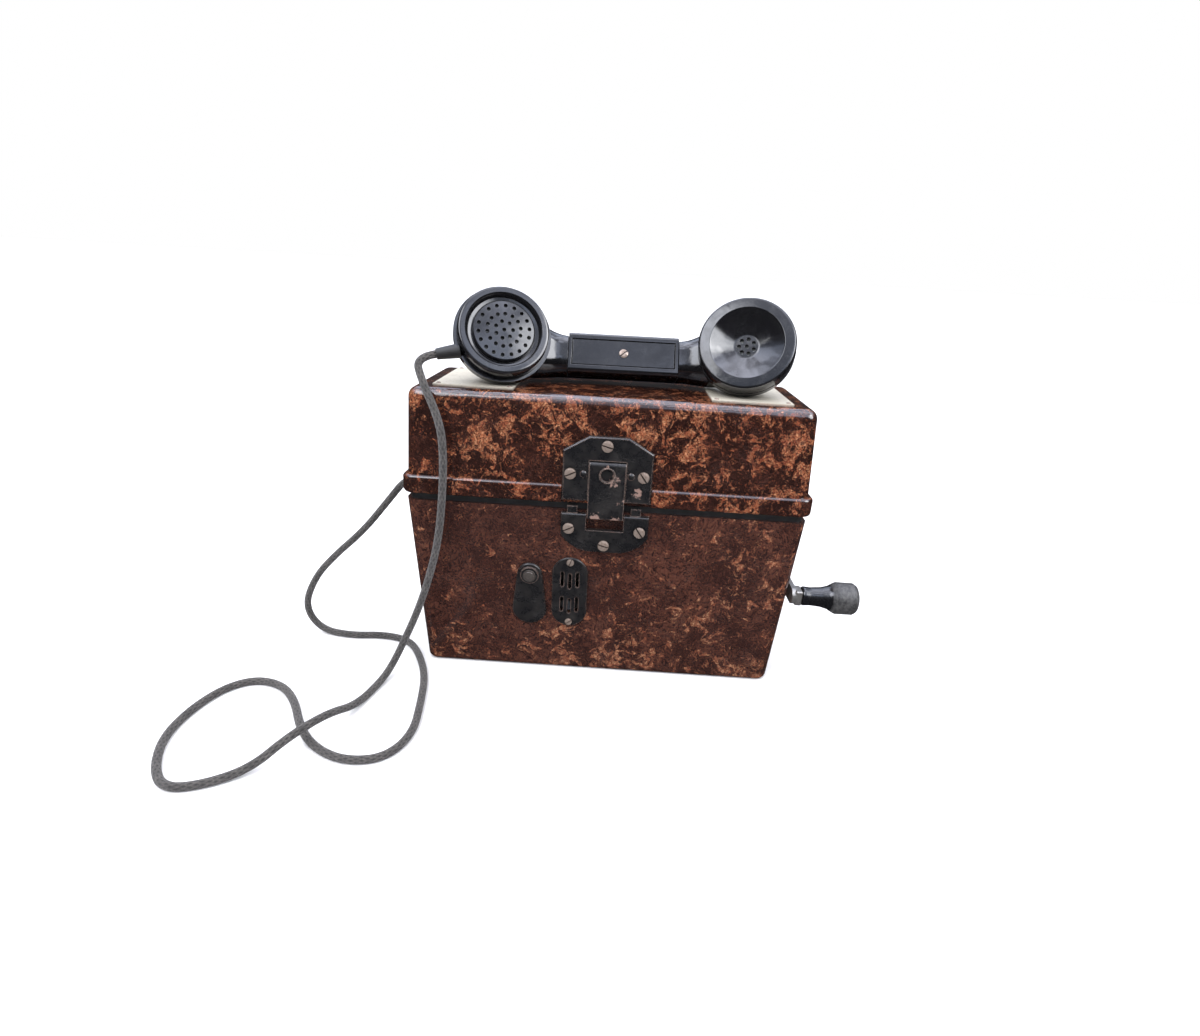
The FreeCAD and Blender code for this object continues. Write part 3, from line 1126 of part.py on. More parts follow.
def handle_section(x, middle, height, thick, corner):
    """A rounded outline across the handle; it sinks to the handle's middle away from the cups."""
    drop = HANDLE_DROP * min(1.0, (CAP_SPREAD - abs(x)) / (CAP_SPREAD - KEY_HALF))
    wire = rounded_wire(height, thick, corner, 0)
    turn = FreeCAD.Rotation(V(0, 1, 0), V(0, 0, 1), V(1, 0, 0), "ZXY")
    wire.Placement = FreeCAD.Placement(V(x, -drop, middle), turn)
    return wire


def handset_shell():
    """Both cups, the necks and the handle in one moulding, with the seat for the talk key."""
    stations = [(38.0, -37.0, 27.0, 26.0, 9.0), (46.0, -36.5, 29.5, 25.5, 10.0), (54.0, -34.0, 34.0, 26.0, 11.0),
                (61.0, -31.5, 38.0, 27.5, 12.0), (68.0, -29.5, 40.0, 28.5, 13.0)]
    sections = [(-x, *rest) for x, *rest in reversed(stations)] + stations
    handle = Part.makeLoft([handle_section(*s) for s in sections], True, False)
    skirt_seat = -CAP_SKIRT - FACE_GAP
    cup = turned([(0, -CUP_DEPTH), (CUP_BACK - 3, -CUP_DEPTH), (CUP_BACK, -CUP_DEPTH + 1.5),
                  (CUP_RADIUS, -CUP_SHOULDER), (CUP_RADIUS, skirt_seat), (SPIGOT_RADIUS, skirt_seat),
                  (SPIGOT_RADIUS, -CAP_SEAT), (0, -CAP_SEAT)])
    floor = -CUP_SHOULDER - 14
    room = turned([(0, floor), (CUP_CAVITY - 8, floor), (CUP_CAVITY, -CAP_SEAT - CAPSULE_DEPTH), (CUP_CAVITY, 0),
                   (0, 0)])
    body = handle.fuse([in_cup(cup, s) for s in (-1, 1)])
    reach = KEY_HALF + KEY_PLAY
    below = KEY_FRONT - KEY_WALL - KEY_TRAVEL - KEY_PLAY
    side = KEY_HEIGHT / 2 - KEY_WALL - KEY_PLAY
    skirt = KEY_SKIRT - KEY_TRAVEL - KEY_PLAY
    key_room = [
        box(-reach, reach, -30, 30, below, 0),
        box(-reach, reach, side, 30, skirt, 0),
        box(-reach, reach, -30, -side, skirt, 0),
        box(-KEY_HALF + 6, KEY_HALF - 6, -5.5, 5.5, SPRING_BACK, 0),
    ]
    key_room += [rod(3.5, V(s * 30, 0, -38), V(s * 70, 0, -26)) for s in (-1, 1)]
    for piece in key_room:
        piece.translate(V(0, -HANDLE_DROP, 0))
    shell = in_handset(body.cut(key_room + [in_cup(room, s) for s in (-1, 1)]))
    return shell.cut(rod(BOOT_TIP_RADIUS, BOOT_ROOT + (BOOT_ROOT - BOOT_TIP) * 0.3, BOOT_TIP))


def talk_key():
    """The press bar: a channel that covers the handle, with a stem for the contacts."""
    h = KEY_HEIGHT / 2
    body = box(-KEY_HALF, KEY_HALF, -h, h, KEY_SKIRT, KEY_FRONT)
    front = [e for e in body.Edges
             if abs(e.BoundBox.XLength - 2 * KEY_HALF) < 0.1 and e.BoundBox.ZMin > KEY_FRONT - 0.1]
    body = body.makeFillet(2.5, front)
    x, y = KEY_HALF - KEY_FRAME_X, h - KEY_FRAME_Y
    body = body.cut([
        box(-KEY_HALF, KEY_HALF, -h + KEY_WALL, h - KEY_WALL, KEY_SKIRT, KEY_FRONT - KEY_WALL),
        box(-x, x, -y, y, KEY_FRONT - KEY_PLATE_RECESS, KEY_FRONT),
    ])
    stem = box(-STEM_HALF, STEM_HALF, -4.5, 4.5, KEY_FRONT - STEM_DEPTH, KEY_FRONT - KEY_WALL)
    hole = Part.makeCylinder(KEY_SCREW_HOLE, 20, V(0, 0, KEY_FRONT - 12))
    return in_handle(body.fuse(stem).cut(hole))


def key_plate():
    """The blank plate let into the key."""
    x, y = KEY_HALF - KEY_FRAME_X - SLIP, KEY_HEIGHT / 2 - KEY_FRAME_Y - SLIP
    plate = box(-x, x, -y, y, KEY_FRONT - KEY_PLATE_RECESS, KEY_FRONT - 0.3)
    plate = plate.makeChamfer(0.4, edges_where(plate, lambda p: p.z > KEY_FRONT - 0.5))
    return in_handle(plate.cut(Part.makeCylinder(KEY_SCREW_HOLE, 20, V(0, 0, KEY_FRONT - 12))))


def key_screw():
    return in_handle(screw(0, 0, KEY_FRONT - 0.3, 2 * KEY_SCREW_HOLE, 0.9, 9.0, 30))


def contact_springs():
    """Two flat springs under the stem of the key, each with a raised contact."""
    top = SPRING_BACK + 0.5
    out = []
    for side in (-1, 1):
        x = side * SPRING_X
        leaf = box(x - SPRING_HALF, x + SPRING_HALF, -3, 3, SPRING_BACK, top)
        contact = box(side * 24 - 2, side * 24 + 2, -3, 3, top, top + 4.2)
        out.append(leaf.fuse(contact))
    return in_handle(group(out))


def cap_blank(radius, inner):
    """The outside of a screwed cap: front ring, skirt and threaded mouth."""
    thread, seat = SPIGOT_RADIUS + 0.1, -CAP_SEAT + FACE_GAP
    return [(radius - 2.2, 0), (radius - 0.8, -0.6), (radius, -2.2), (radius + 0.4, -CAP_SKIRT + 1.0),
            (radius, -CAP_SKIRT), (thread, -CAP_SKIRT), (thread, seat), (inner, seat)]


def ring_of_holes(count, ring, phase, radius):
    """Holes straight through a cap, evenly on a ring."""
    turns = [2 * math.pi * (i + phase) / count for i in range(count)]
    return [Part.makeCylinder(radius, 14, V(ring * math.cos(a), ring * math.sin(a), -13)) for a in turns]


def mouthpiece_cap():
    """The cap with a deep groove round its perforated disc: rings of 18, 14, 7 and one hole."""
    profile = [(0, -4.6), (19.0, -5.2)] + list(reversed(cap_blank(MOUTH_RADIUS, 20.0)))
    profile += [(25.6, 0), (24.8, -0.5), (24.2, -1.6), (23.4, -4.2), (21.2, -4.6), (20.6, -2.2), (19.8, -1.6),
                (10.0, -0.9), (0, -0.6)]
    holes = []
    for count, ring, phase in MOUTH_RINGS:
        holes += ring_of_holes(count, ring, phase, MOUTH_HOLE)
    return in_handset(in_cup(turned(profile).cut(holes), -1))


def earpiece_cap():
    """The cap with a hollow cone and eight holes at its bottom."""
    profile = [(0, -EAR_BOWL_DEPTH), (12.0, -EAR_BOWL_DEPTH)] + list(reversed(cap_blank(EAR_RADIUS, 19.0)))
    profile += [(24.6, 0.2), (23.7, -0.4), (17.0, -3.8), (9.0, -6.9), (7.6, -7.3), (0, -7.3)]
    holes = ring_of_holes(7, EAR_RING, 0.5, EAR_HOLE) + ring_of_holes(1, 0.0, 0.0, EAR_HOLE)
    return in_handset(in_cup(turned(profile).cut(holes), 1))


def capsule(side, top):
    """A capsule with a stepped back, seated on the shoulder inside its cup."""
    back = -CAP_SEAT - CAPSULE_DEPTH
    radius = CUP_CAVITY - BOX_PLAY
    body = turned([(0, back - 3), (14, back - 3), (17, back), (radius, back), (radius, top - 1), (radius - 1, top),
                   (0, top)])
    return in_handset(in_cup(body, side))


def cord_boot():
    """The rubber boot where the cord leaves the mouthpiece end."""
    way = BOOT_TIP - BOOT_ROOT
    body = Part.makeCone(BOOT_ROOT_RADIUS, BOOT_TIP_RADIUS, way.Length, BOOT_ROOT, way)
    cup = turned([(0, -CUP_DEPTH), (CUP_BACK, -CUP_DEPTH), (CUP_RADIUS, -CUP_SHOULDER), (CUP_RADIUS, 0), (0, 0)])
    outside = body.cut(in_handset(in_cup(cup, -1)))
    neck = rod(BOOT_TIP_RADIUS, BOOT_TIP + (BOOT_ROOT - BOOT_TIP) * 0.72, BOOT_TIP)
    return outside.fuse(neck)


# Cord

def cord(name, points, radius=CORD_RADIUS):
    """A tube of straight runs and tangent arcs along the points; prints its bends and its length."""
    spots = [V(*p) for p in points]
    edges, radii = [], []
    here = spots[0]
    for before, corner, after in zip(spots, spots[1:], spots[2:]):
        a, b = before - corner, after - corner
        la, lb = a.Length, b.Length
        a.normalize()
        b.normalize()
        turn = math.pi - math.acos(max(-1.0, min(1.0, a.dot(b))))
        cut = 0.45 * min(la, lb)
        bend = cut / math.tan(turn / 2)
        radii.append(round(bend, 1))
        first, last = corner + a * cut, corner + b * cut
        half = a + b
        half.normalize()
        middle = corner + half * (math.sqrt(bend ** 2 + cut ** 2) - bend)
        edges.append(Part.LineSegment(here, first).toShape())
        edges.append(Part.Arc(first, middle, last).toShape())
        here = last
    edges.append(Part.LineSegment(here, spots[-1]).toShape())
    path = Part.Wire(edges)
    start = spots[1] - spots[0]
    ring = Part.Wire([Part.makeCircle(radius, spots[0], start)])
    tube = path.makePipeShell([ring], True, False)
    wanted = math.pi * radius ** 2 * path.Length
    ratio = round(tube.Volume / wanted, 4)
    print(name, "length", round(path.Length, 1), "bend radii", radii, "volume ratio", ratio)
    return tube


def cord_gland():
    """The rubber sleeve in the notch between the case and the lid."""
    length = GLAND_X1 - GLAND_X0
    r = GLAND_RADIUS - FACE_GAP
    body = turned([(0, 0), (r - 0.7, 0), (r, 2.0), (r, length - 2.0), (r - 0.7, length), (0, length)])
    return laid(body, GLAND_X0, GLAND_Y, GLAND_Z)


def parts():
    """Every node by name."""
    case, lid = case_outline(), lid_foot().fuse(lid_upper())
    out = {
        "case_shell": case_shell(),
        "lid_shell": lid_shell(),
        "lid_seal": seal(),
        "case_hinge_leaves": group([hinge_leaf(side, -1, case) for side in (-1, 1)]),
        "lid_hinge_leaves": group([hinge_leaf(side, 1, lid) for side in (-1, 1)]),
        "hinge_pins": group([hinge_pin(side) for side in (-1, 1)]),
        "case_screws": case_screws(),
        "name_plates": name_plates(),
        "plate_nails": plate_nails(),
        "latch_plate": upper_plate(),
        "latch_hasp": hasp(),
        "hasp_pin": hasp_pin(),
        "hasp_spring": hasp_spring(),
        "lid_screws": lid_screws(),
        "keeper_plate": lower_plate(),
        "sound_plate": sound_plate(),
        "swivel_cover": swivel_cover(),
        "cover_pivot": cover_pivot(),
        "jack_socket": jack_socket(),
        "inner_panel": inner_panel(),
        "line_terminals": group(terminal_posts() + terminal_nuts()),
        "handset_rests": handset_rests(),
        "crank_shaft": crank_shaft(),
        "shaft_bush": shaft_bush(),
        "drive_gear": drive_gear(),
        "armature_pinion": armature_pinion(),
        "armature_core": armature_core(),
        "armature_winding": armature_winding(),
        "generator_frame": generator_frame(),
        "generator_magnets": generator_magnets(),
        "crank_arm": crank_arm(),
        "hub_nut": hub_nut(),
        "crank_spindle": crank_spindle(),
        "crank_grip": crank_grip(),
        "gongs": group([gong(side) for side in (-1, 1)]),
        "gong_posts": gong_posts(),
        "ringer_frame": ringer_frame(),
        "ringer_coils": ringer_coils(),
        "clapper": clapper(),
        "clapper_pin": clapper_pin(),
        "battery_box": battery_box(),
        "battery_cells": battery_cells(),
        "capacitor_can": capacitor_can(),
        "induction_bobbin": induction_bobbin(),
        "induction_winding": induction_winding(),
        "handset_shell": handset_shell(),
        "talk_key": talk_key(),
        "key_plate": key_plate(),
        "key_screw": key_screw(),
        "contact_springs": contact_springs(),
        "mouthpiece_cap": mouthpiece_cap(),
        "earpiece_cap": earpiece_cap(),
        "transmitter_capsule": capsule(-1, -CAP_SEAT),
        "receiver_capsule": capsule(1, -EAR_BOWL_DEPTH - FACE_GAP),
        "cord_boot": cord_boot(),
        "cord_gland": cord_gland(),
        "cord_tail": cord("cord_tail", TAIL_ROUTE),
        "cord_floor_run": cord("cord_floor_run", FLOOR_ROUTE),
        "cord_rising_run": cord("cord_rising_run", RISING_ROUTE),
        "cord_lid_run": cord("cord_lid_run", LID_ROUTE),
    }
    return out


def main():
    os.makedirs("parts", exist_ok=True)
    for name, shape in parts().items():
        solids = shape.Solids
        bad = [s for s in solids if not s.isValid() or s.Volume <= 0]
        if bad or not solids:
            print("check", name, "solids", len(solids), "bad", len(bad))
        shape.exportStep(os.path.join("parts", name + ".step"))


main()
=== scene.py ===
"""The looks of the field telephone: every surface, the braided cord, the light and the camera.

Each sub-assembly is a class that dresses or rebuilds its own pieces; each finish is a small class that builds
one material. Lengths are in metres, and MM turns millimetres into metres.
"""

import json
import logging
import math
from dataclasses import dataclass
from enum import Enum
from typing import Callable, Sequence

import bmesh
import bpy
from mathutils import Matrix, Vector
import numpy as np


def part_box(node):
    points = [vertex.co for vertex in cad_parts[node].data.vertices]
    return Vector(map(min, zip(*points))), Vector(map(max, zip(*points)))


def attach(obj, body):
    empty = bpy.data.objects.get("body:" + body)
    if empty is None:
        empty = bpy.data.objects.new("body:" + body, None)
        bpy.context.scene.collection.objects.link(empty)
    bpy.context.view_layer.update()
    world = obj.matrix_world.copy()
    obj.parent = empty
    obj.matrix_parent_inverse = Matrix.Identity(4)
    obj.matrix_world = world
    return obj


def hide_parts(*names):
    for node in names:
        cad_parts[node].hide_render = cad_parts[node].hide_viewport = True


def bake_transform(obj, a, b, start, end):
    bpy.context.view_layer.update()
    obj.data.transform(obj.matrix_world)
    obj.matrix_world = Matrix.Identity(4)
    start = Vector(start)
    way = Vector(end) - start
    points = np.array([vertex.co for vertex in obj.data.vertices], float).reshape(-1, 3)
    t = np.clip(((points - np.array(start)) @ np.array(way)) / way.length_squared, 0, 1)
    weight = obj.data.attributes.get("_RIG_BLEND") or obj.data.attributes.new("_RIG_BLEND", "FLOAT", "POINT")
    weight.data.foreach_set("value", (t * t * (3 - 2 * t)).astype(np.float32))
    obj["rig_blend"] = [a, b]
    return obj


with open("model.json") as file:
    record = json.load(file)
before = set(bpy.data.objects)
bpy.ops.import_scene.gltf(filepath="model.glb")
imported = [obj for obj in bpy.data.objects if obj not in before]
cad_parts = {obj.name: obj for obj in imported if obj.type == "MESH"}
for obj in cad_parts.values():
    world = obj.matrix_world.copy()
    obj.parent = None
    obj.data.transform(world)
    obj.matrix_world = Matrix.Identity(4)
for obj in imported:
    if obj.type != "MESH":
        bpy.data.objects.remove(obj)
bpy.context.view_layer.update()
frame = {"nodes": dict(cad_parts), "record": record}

MM = 0.001
LOG = logging.getLogger("field_telephone")

Socket = bpy.types.NodeSocket
Colour = tuple[float, float, float]
Point = tuple[float, float, float]


class Slot(Enum):
    """The record's material slots."""

    CASE_RESIN = "case_resin"
    LID_RESIN = "lid_resin"
    BLACK_MOULDING = "black_moulding"
    BLACK_PAINT = "black_paint"
    NICKEL = "nickel"
    STEEL = "steel"
    BRASS = "brass"
    PLATE_METAL = "plate_metal"
    COPPER_WINDING = "copper_winding"
    CARD = "card"
    CAPSULE_METAL = "capsule_metal"
    RUBBER = "rubber"
    BRAID = "braid"


class Body(Enum):
    """The bodies that pieces ride on."""

    CASE = "case"
    LID = "lid"
    HASP = "hasp"
    COVER = "cover"
    CRANK = "crank"
    GRIP = "grip"
    HANDSET = "handset"
    KEY = "key"


class Graph:
    """Builds a node tree with short calls."""

    def __init__(self, tree: bpy.types.NodeTree) -> None:
        """Keeps the tree that the calls add to."""
        self.tree = tree

    def node(self, kind: str, **settings: object) -> bpy.types.Node:
        """Adds a node and sets its properties.

        Args:
            kind: the node's type.
            settings: property names and values.

        Returns:
            The new node.
        """
        made = self.tree.nodes.new(kind)
        for name, value in settings.items():
            setattr(made, name, value)
        return made

    def feed(self, socket: Socket, value: object) -> None:
        """Links a socket to another one, or sets its value."""
        if isinstance(value, Socket):
            self.tree.links.new(value, socket)
        elif value is not None:
            socket.default_value = value

    def math(self, operation: str, a: object, b: object = None, clamp: bool = False) -> Socket:
        """A math node's result."""
        made = self.node("ShaderNodeMath", operation=operation, use_clamp=clamp)
        self.feed(made.inputs[0], a)
        self.feed(made.inputs[1], b)
        return made.outputs[0]

    def plus(self, a: object, b: object, clamp: bool = False) -> Socket:
        """A sum."""
        return self.math("ADD", a, b, clamp)

    def minus(self, a: object, b: object, clamp: bool = False) -> Socket:
        """A difference."""
        return self.math("SUBTRACT", a, b, clamp)

    def times(self, a: object, b: object, clamp: bool = False) -> Socket:
        """A product."""
        return self.math("MULTIPLY", a, b, clamp)

    def larger(self, a: object, b: object, clamp: bool = False) -> Socket:
        """The larger of two numbers."""
        return self.math("MAXIMUM", a, b, clamp)

    def total(self, base: object, *shares: tuple[Socket, float]) -> Socket:
        """A base with weighted shares added one by one, the last sum clamped."""
        for left, (value, weight) in zip(range(len(shares) - 1, -1, -1), shares):
            base = self.plus(base, self.times(value, weight), clamp=not left)
        return base

    def axes(self, vector: object) -> bpy.types.NodeOutputs:
        """The X, Y and Z of a vector, by name."""
        made = self.node("ShaderNodeSeparateXYZ")
        self.feed(made.inputs[0], vector)
        return made.outputs

    def vector(self, operation: str, a: object, b: object = None, scale: object = None) -> Socket:
        """A vector math node's result."""
        made = self.node("ShaderNodeVectorMath", operation=operation)
        self.feed(made.inputs[0], a)
        self.feed(made.inputs[1], b)
        if scale is not None:
            self.feed(made.inputs["Scale"], scale)
        return made.outputs["Value" if operation in ("DOT_PRODUCT", "DISTANCE") else "Vector"]

    def noise(self, at: object, scale: float, detail: float = 2.0, rough: float = 0.5,
              distort: float = 0.0) -> bpy.types.Node:
        """A noise texture node."""
        made = self.node("ShaderNodeTexNoise")
        self.feed(made.inputs["Vector"], at)
        self.feed(made.inputs["Scale"], scale)
        made.inputs["Detail"].default_value = detail
        made.inputs["Roughness"].default_value = rough
        made.inputs["Distortion"].default_value = distort
        return made

    def cloud(self, *settings: object) -> Socket:
        """The value of a noise texture with these settings."""
        return self.noise(*settings).outputs["Fac"]

    def waver(self, at: object, scale: float, detail: float, rough: float, reach: float) -> Socket:
        """Places shifted by a noise, up to half the reach each way."""
        shade = self.noise(at, scale, detail, rough).outputs["Color"]
        drift = self.vector("SUBTRACT", shade, (0.5, 0.5, 0.5))
        return self.vector("ADD", at, self.vector("SCALE", drift, scale=reach))

    def cells(self, at: object, scale: float, feature: str = "F1") -> bpy.types.Node:
        """A cell texture node."""
        made = self.node("ShaderNodeTexVoronoi", feature=feature)
        self.feed(made.inputs["Vector"], at)
        self.feed(made.inputs["Scale"], scale)
        return made

    def step(self, value: object, low: object, high: object) -> Socket:
        """Nought below low, one above high, and a smooth rise between them."""
        made = self.node("ShaderNodeMapRange", interpolation_type="SMOOTHSTEP")
        self.feed(made.inputs["Value"], value)
        self.feed(made.inputs["From Min"], low)
        self.feed(made.inputs["From Max"], high)
        return made.outputs["Result"]

    def mix(self, share: object, a: object, b: object) -> Socket:
        """A colour between two colours."""
        made = self.node("ShaderNodeMix", data_type="RGBA")
        self.feed(made.inputs["Factor"], share)
        self.feed(made.inputs[6], rgba(a))
        self.feed(made.inputs[7], rgba(b))
        return made.outputs[2]

    def blend(self, share: object, a: object, b: object) -> Socket:
        """A number between two numbers."""
        made = self.node("ShaderNodeMix", data_type="FLOAT")
        self.feed(made.inputs[0], share)
        self.feed(made.inputs[2], a)
        self.feed(made.inputs[3], b)
        return made.outputs[0]

    def ramp(self, value: object, stops: Sequence[tuple[float, Colour]]) -> Socket:
        """A colour from a ramp of (place, colour) stops."""
        made = self.node("ShaderNodeValToRGB")
        elements = made.color_ramp.elements
        while len(elements) < len(stops):
            elements.new(1.0)
        for element, (place, colour) in zip(elements, stops):
            element.position = place
            element.color = (*colour, 1.0)
        self.feed(made.inputs[0], value)
        return made.outputs[0]


def rgba(value: object) -> object:
    """A three-number colour with its fourth number, or anything else as it is."""
    if isinstance(value, tuple) and len(value) == 3:
        return (*value, 1.0)
    return value


def group_of(name: str, inputs: Sequence[tuple[str, str, object]], outputs: Sequence[tuple[str, str]],
             fill: Callable[[Graph, dict[str, Socket]], dict[str, Socket]]) -> bpy.types.NodeTree:
    """Builds a shader node group once.

    Args:
        name: the group's name.
        inputs: (name, socket type, default) of each input.
        outputs: (name, socket type) of each output.
        fill: builds the inside from the graph and the inputs, and returns the outputs by name.

    Returns:
        The node group.
    """
    found = bpy.data.node_groups.get(name)
    if found:
        return found
    tree = bpy.data.node_groups.new(name, "ShaderNodeTree")
    for label, kind, default in inputs:
        socket = tree.interface.new_socket(label, in_out="INPUT", socket_type=kind)
        if default is not None:
            socket.default_value = default
    for label, kind in outputs:
        tree.interface.new_socket(label, in_out="OUTPUT", socket_type=kind)
    graph = Graph(tree)
    entry, leave = graph.node("NodeGroupInput"), graph.node("NodeGroupOutput")
    results = fill(graph, {label: entry.outputs[label] for label, _, _ in inputs})
    for label, socket in results.items():
        graph.feed(leave.inputs[label], socket)
    return tree


FLOAT, VECTOR = "NodeSocketFloat", "NodeSocketVector"


def mottle_group() -> bpy.types.NodeTree:
    """Flecks of a mottled moulding: clusters of small curled granules in a darker ground.

    Scales are counts per metre and reaches are metres.
    """
    drift_scale, drift_reach = 55.0, 0.014
    curl_scale, curl_reach = 620.0, 0.0022
    cluster_scale, broad_scale, haze_scale, swirl_scale = 112.0, 24.0, 36.0, 240.0
    granule_scale, thread_scale, gap_scale = 850.0, 700.0, 980.0
    sparse_level, per_density, per_broad = 0.63, 0.2, 0.2

    def fill(g: Graph, given: dict[str, Socket]) -> dict[str, Socket]:
        at, density = given["Vector"], given["Density"]
        flowed = g.waver(at, drift_scale, 2.0, 0.5, drift_reach)
        bent = g.waver(at, curl_scale, 2.0, 0.6, curl_reach)
        broad = g.cloud(at, broad_scale, 2.0)
        level = g.minus(sparse_level, g.times(density, per_density))
        level = g.minus(level, g.times(g.minus(broad, 0.5), per_broad))
        clumps = g.cloud(flowed, cluster_scale, 6.0, 0.66, 0.7)
        cluster = g.step(clumps, level, g.plus(level, 0.06))
        fringe = g.step(clumps, g.minus(level, 0.12), level)
        shade = g.node("ShaderNodeSeparateColor")
        g.feed(shade.inputs[0], g.cells(bent, granule_scale).outputs["Color"])
        edge = g.cells(bent, granule_scale, "DISTANCE_TO_EDGE").outputs["Distance"]
        granule = g.times(g.step(edge, 0.0, 0.16), g.step(shade.outputs[0], 0.25, 0.5))
        strands = g.cloud(bent, thread_scale, 4.0, 0.7, 1.4)
        thread = g.minus(1.0, g.step(g.math("ABSOLUTE", g.minus(strands, 0.5)), 0.0, 0.06))
        gaps = g.step(g.cloud(bent, gap_scale, 3.0, 0.65), 0.36, 0.5)
        flake = g.times(g.larger(granule, thread), gaps)
        stray = g.times(g.times(thread, g.step(shade.outputs[1], 0.74, 0.9)), gaps)
        stray = g.times(stray, g.plus(0.18, g.times(fringe, 0.5)))
        return {
            "Fleck": g.larger(g.times(cluster, flake), stray, clamp=True),
            "Tone": g.plus(g.times(shade.outputs[2], 0.6), g.times(broad, 0.45)),
            "Cluster": cluster,
            "Haze": g.step(g.cloud(flowed, haze_scale, 3.0, 0.6), 0.36, 0.66),
            "Swirl": g.cloud(flowed, swirl_scale, 6.0, 0.72, 2.2),
        }

    outputs = [(label, FLOAT) for label in ("Fleck", "Tone", "Cluster", "Haze", "Swirl")]
    return group_of("mottle", [("Vector", VECTOR, None), ("Density", FLOAT, 0.5)], outputs, fill)


def wear_group() -> bpy.types.NodeTree:
    """Where an edge is rubbed: the turn of the surface close by, broken up by noise."""
    per_turn, per_patch, softness = 3.0, 0.8, 0.12

    def fill(g: Graph, given: dict[str, Socket]) -> dict[str, Socket]:
        rounded = g.node("ShaderNodeBevel", samples=6)
        g.feed(rounded.inputs["Radius"], given["Radius"])
        flat = g.node("ShaderNodeNewGeometry").outputs["Normal"]
        turn = g.minus(1.0, g.vector("DOT_PRODUCT", rounded.outputs["Normal"], flat))
        patch = g.cloud(given["Vector"], given["Scale"], 4.0, 0.65)
        level = g.minus(1.0, given["Amount"])
        bite = g.plus(g.times(turn, per_turn), g.times(patch, per_patch))
        return {"Mask": g.step(bite, level, g.plus(level, softness))}

    inputs = [("Vector", VECTOR, None), ("Radius", FLOAT, 0.8 * MM), ("Scale", FLOAT, 300.0),
              ("Amount", FLOAT, 0.4)]
    return group_of("edge_wear", inputs, [("Mask", FLOAT)], fill)


def scratch_group() -> bpy.types.NodeTree:
    """Fine scratches in a few directions and soft smears."""
    turns_and_stretches = ((0.4, 14.0), (1.5, 22.0), (2.5, 17.0))
    line_scale, line_half, where_scale, smear_scale = 95.0, 0.012, 60.0, 85.0

    def fill(g: Graph, given: dict[str, Socket]) -> dict[str, Socket]:
        lines = None
        for turn, stretch in turns_and_stretches:
            turned = g.node("ShaderNodeMapping")
            g.feed(turned.inputs["Vector"], given["Vector"])
            turned.inputs["Rotation"].default_value = (turn * 0.6, turn * 0.3, turn)
            turned.inputs["Scale"].default_value = (1.0, stretch, stretch)
            ridge = g.cloud(turned.outputs[0], line_scale, 2.0, 0.6)
            near = g.math("ABSOLUTE", g.minus(ridge, 0.5))
            line = g.minus(1.0, g.step(near, 0.0, line_half))
            lines = line if lines is None else g.larger(lines, line)
        where = g.step(g.cloud(given["Vector"], where_scale, 2.0), 0.45, 0.65)
        smear = g.step(g.cloud(given["Vector"], smear_scale, 4.0, 0.65, 0.8), 0.42, 0.68)
        return {"Lines": g.times(lines, where), "Smear": smear}

    return group_of("scratches", [("Vector", VECTOR, None)], [("Lines", FLOAT), ("Smear", FLOAT)], fill)


def dust_group() -> bpy.types.NodeTree:
    """Pale dust that lies on what faces up."""
    speck_scale, speck_share, film_scale, film_share = 900.0, 0.5, 70.0, 0.35

    def fill(g: Graph, given: dict[str, Socket]) -> dict[str, Socket]:
        up = g.step(g.axes(given["Normal"])["Z"], 0.2, 0.95)
        specks = g.step(g.cloud(given["Vector"], speck_scale, 3.0, 0.7), 0.56, 0.72)
        film = g.step(g.cloud(given["Vector"], film_scale, 4.0, 0.6), 0.4, 0.75)
        cover = g.plus(g.times(specks, speck_share), g.times(film, film_share))
        return {"Mask": g.times(g.times(up, cover), given["Amount"], clamp=True)}

    return group_of("dust", [("Vector", VECTOR, None), ("Normal", VECTOR, None), ("Amount", FLOAT, 0.2)],
                    [("Mask", FLOAT)], fill)


BRAID_CARRIERS = 8
BRAID_PITCH = 6.2 * MM
THREADS_PER_YARN = 10


def braid_group() -> bpy.types.NodeTree:
    """The yarns of a round braid, from a UV map with turns across and metres along."""
    crossing, thread_relief, gap_top, gap_floor = 0.12, 0.12, 0.86, 0.72

    def fill(g: Graph, given: dict[str, Socket]) -> dict[str, Socket]:
        place = g.axes(given["UV"])
        around = g.times(place["X"], given["Carriers"])
        along = g.math("DIVIDE", place["Y"], given["Pitch"])
        right = g.math("FRACT", g.plus(around, along))
        left = g.math("FRACT", g.minus(around, along))
        hump_right = g.math("SINE", g.times(right, math.pi))
        hump_left = g.math("SINE", g.times(left, math.pi))
        over = g.step(g.minus(hump_right, hump_left), -crossing, crossing)
        height = g.larger(hump_right, hump_left)
        threads_right = g.math("SINE", g.times(left, math.pi * THREADS_PER_YARN))
        threads_left = g.math("SINE", g.times(right, math.pi * THREADS_PER_YARN))
        thread = g.blend(over, threads_left, threads_right)
        relief = g.plus(height, g.times(thread, thread_relief))
        # Gap marks the hollows between the yarns, where the cotton finish paints shade
        return {"Height": relief, "Gap": g.step(height, gap_top, gap_floor)}

    inputs = [("UV", VECTOR, None), ("Carriers", FLOAT, BRAID_CARRIERS), ("Pitch", FLOAT, BRAID_PITCH)]
    return group_of("braid", inputs, [("Height", FLOAT), ("Gap", FLOAT)], fill)


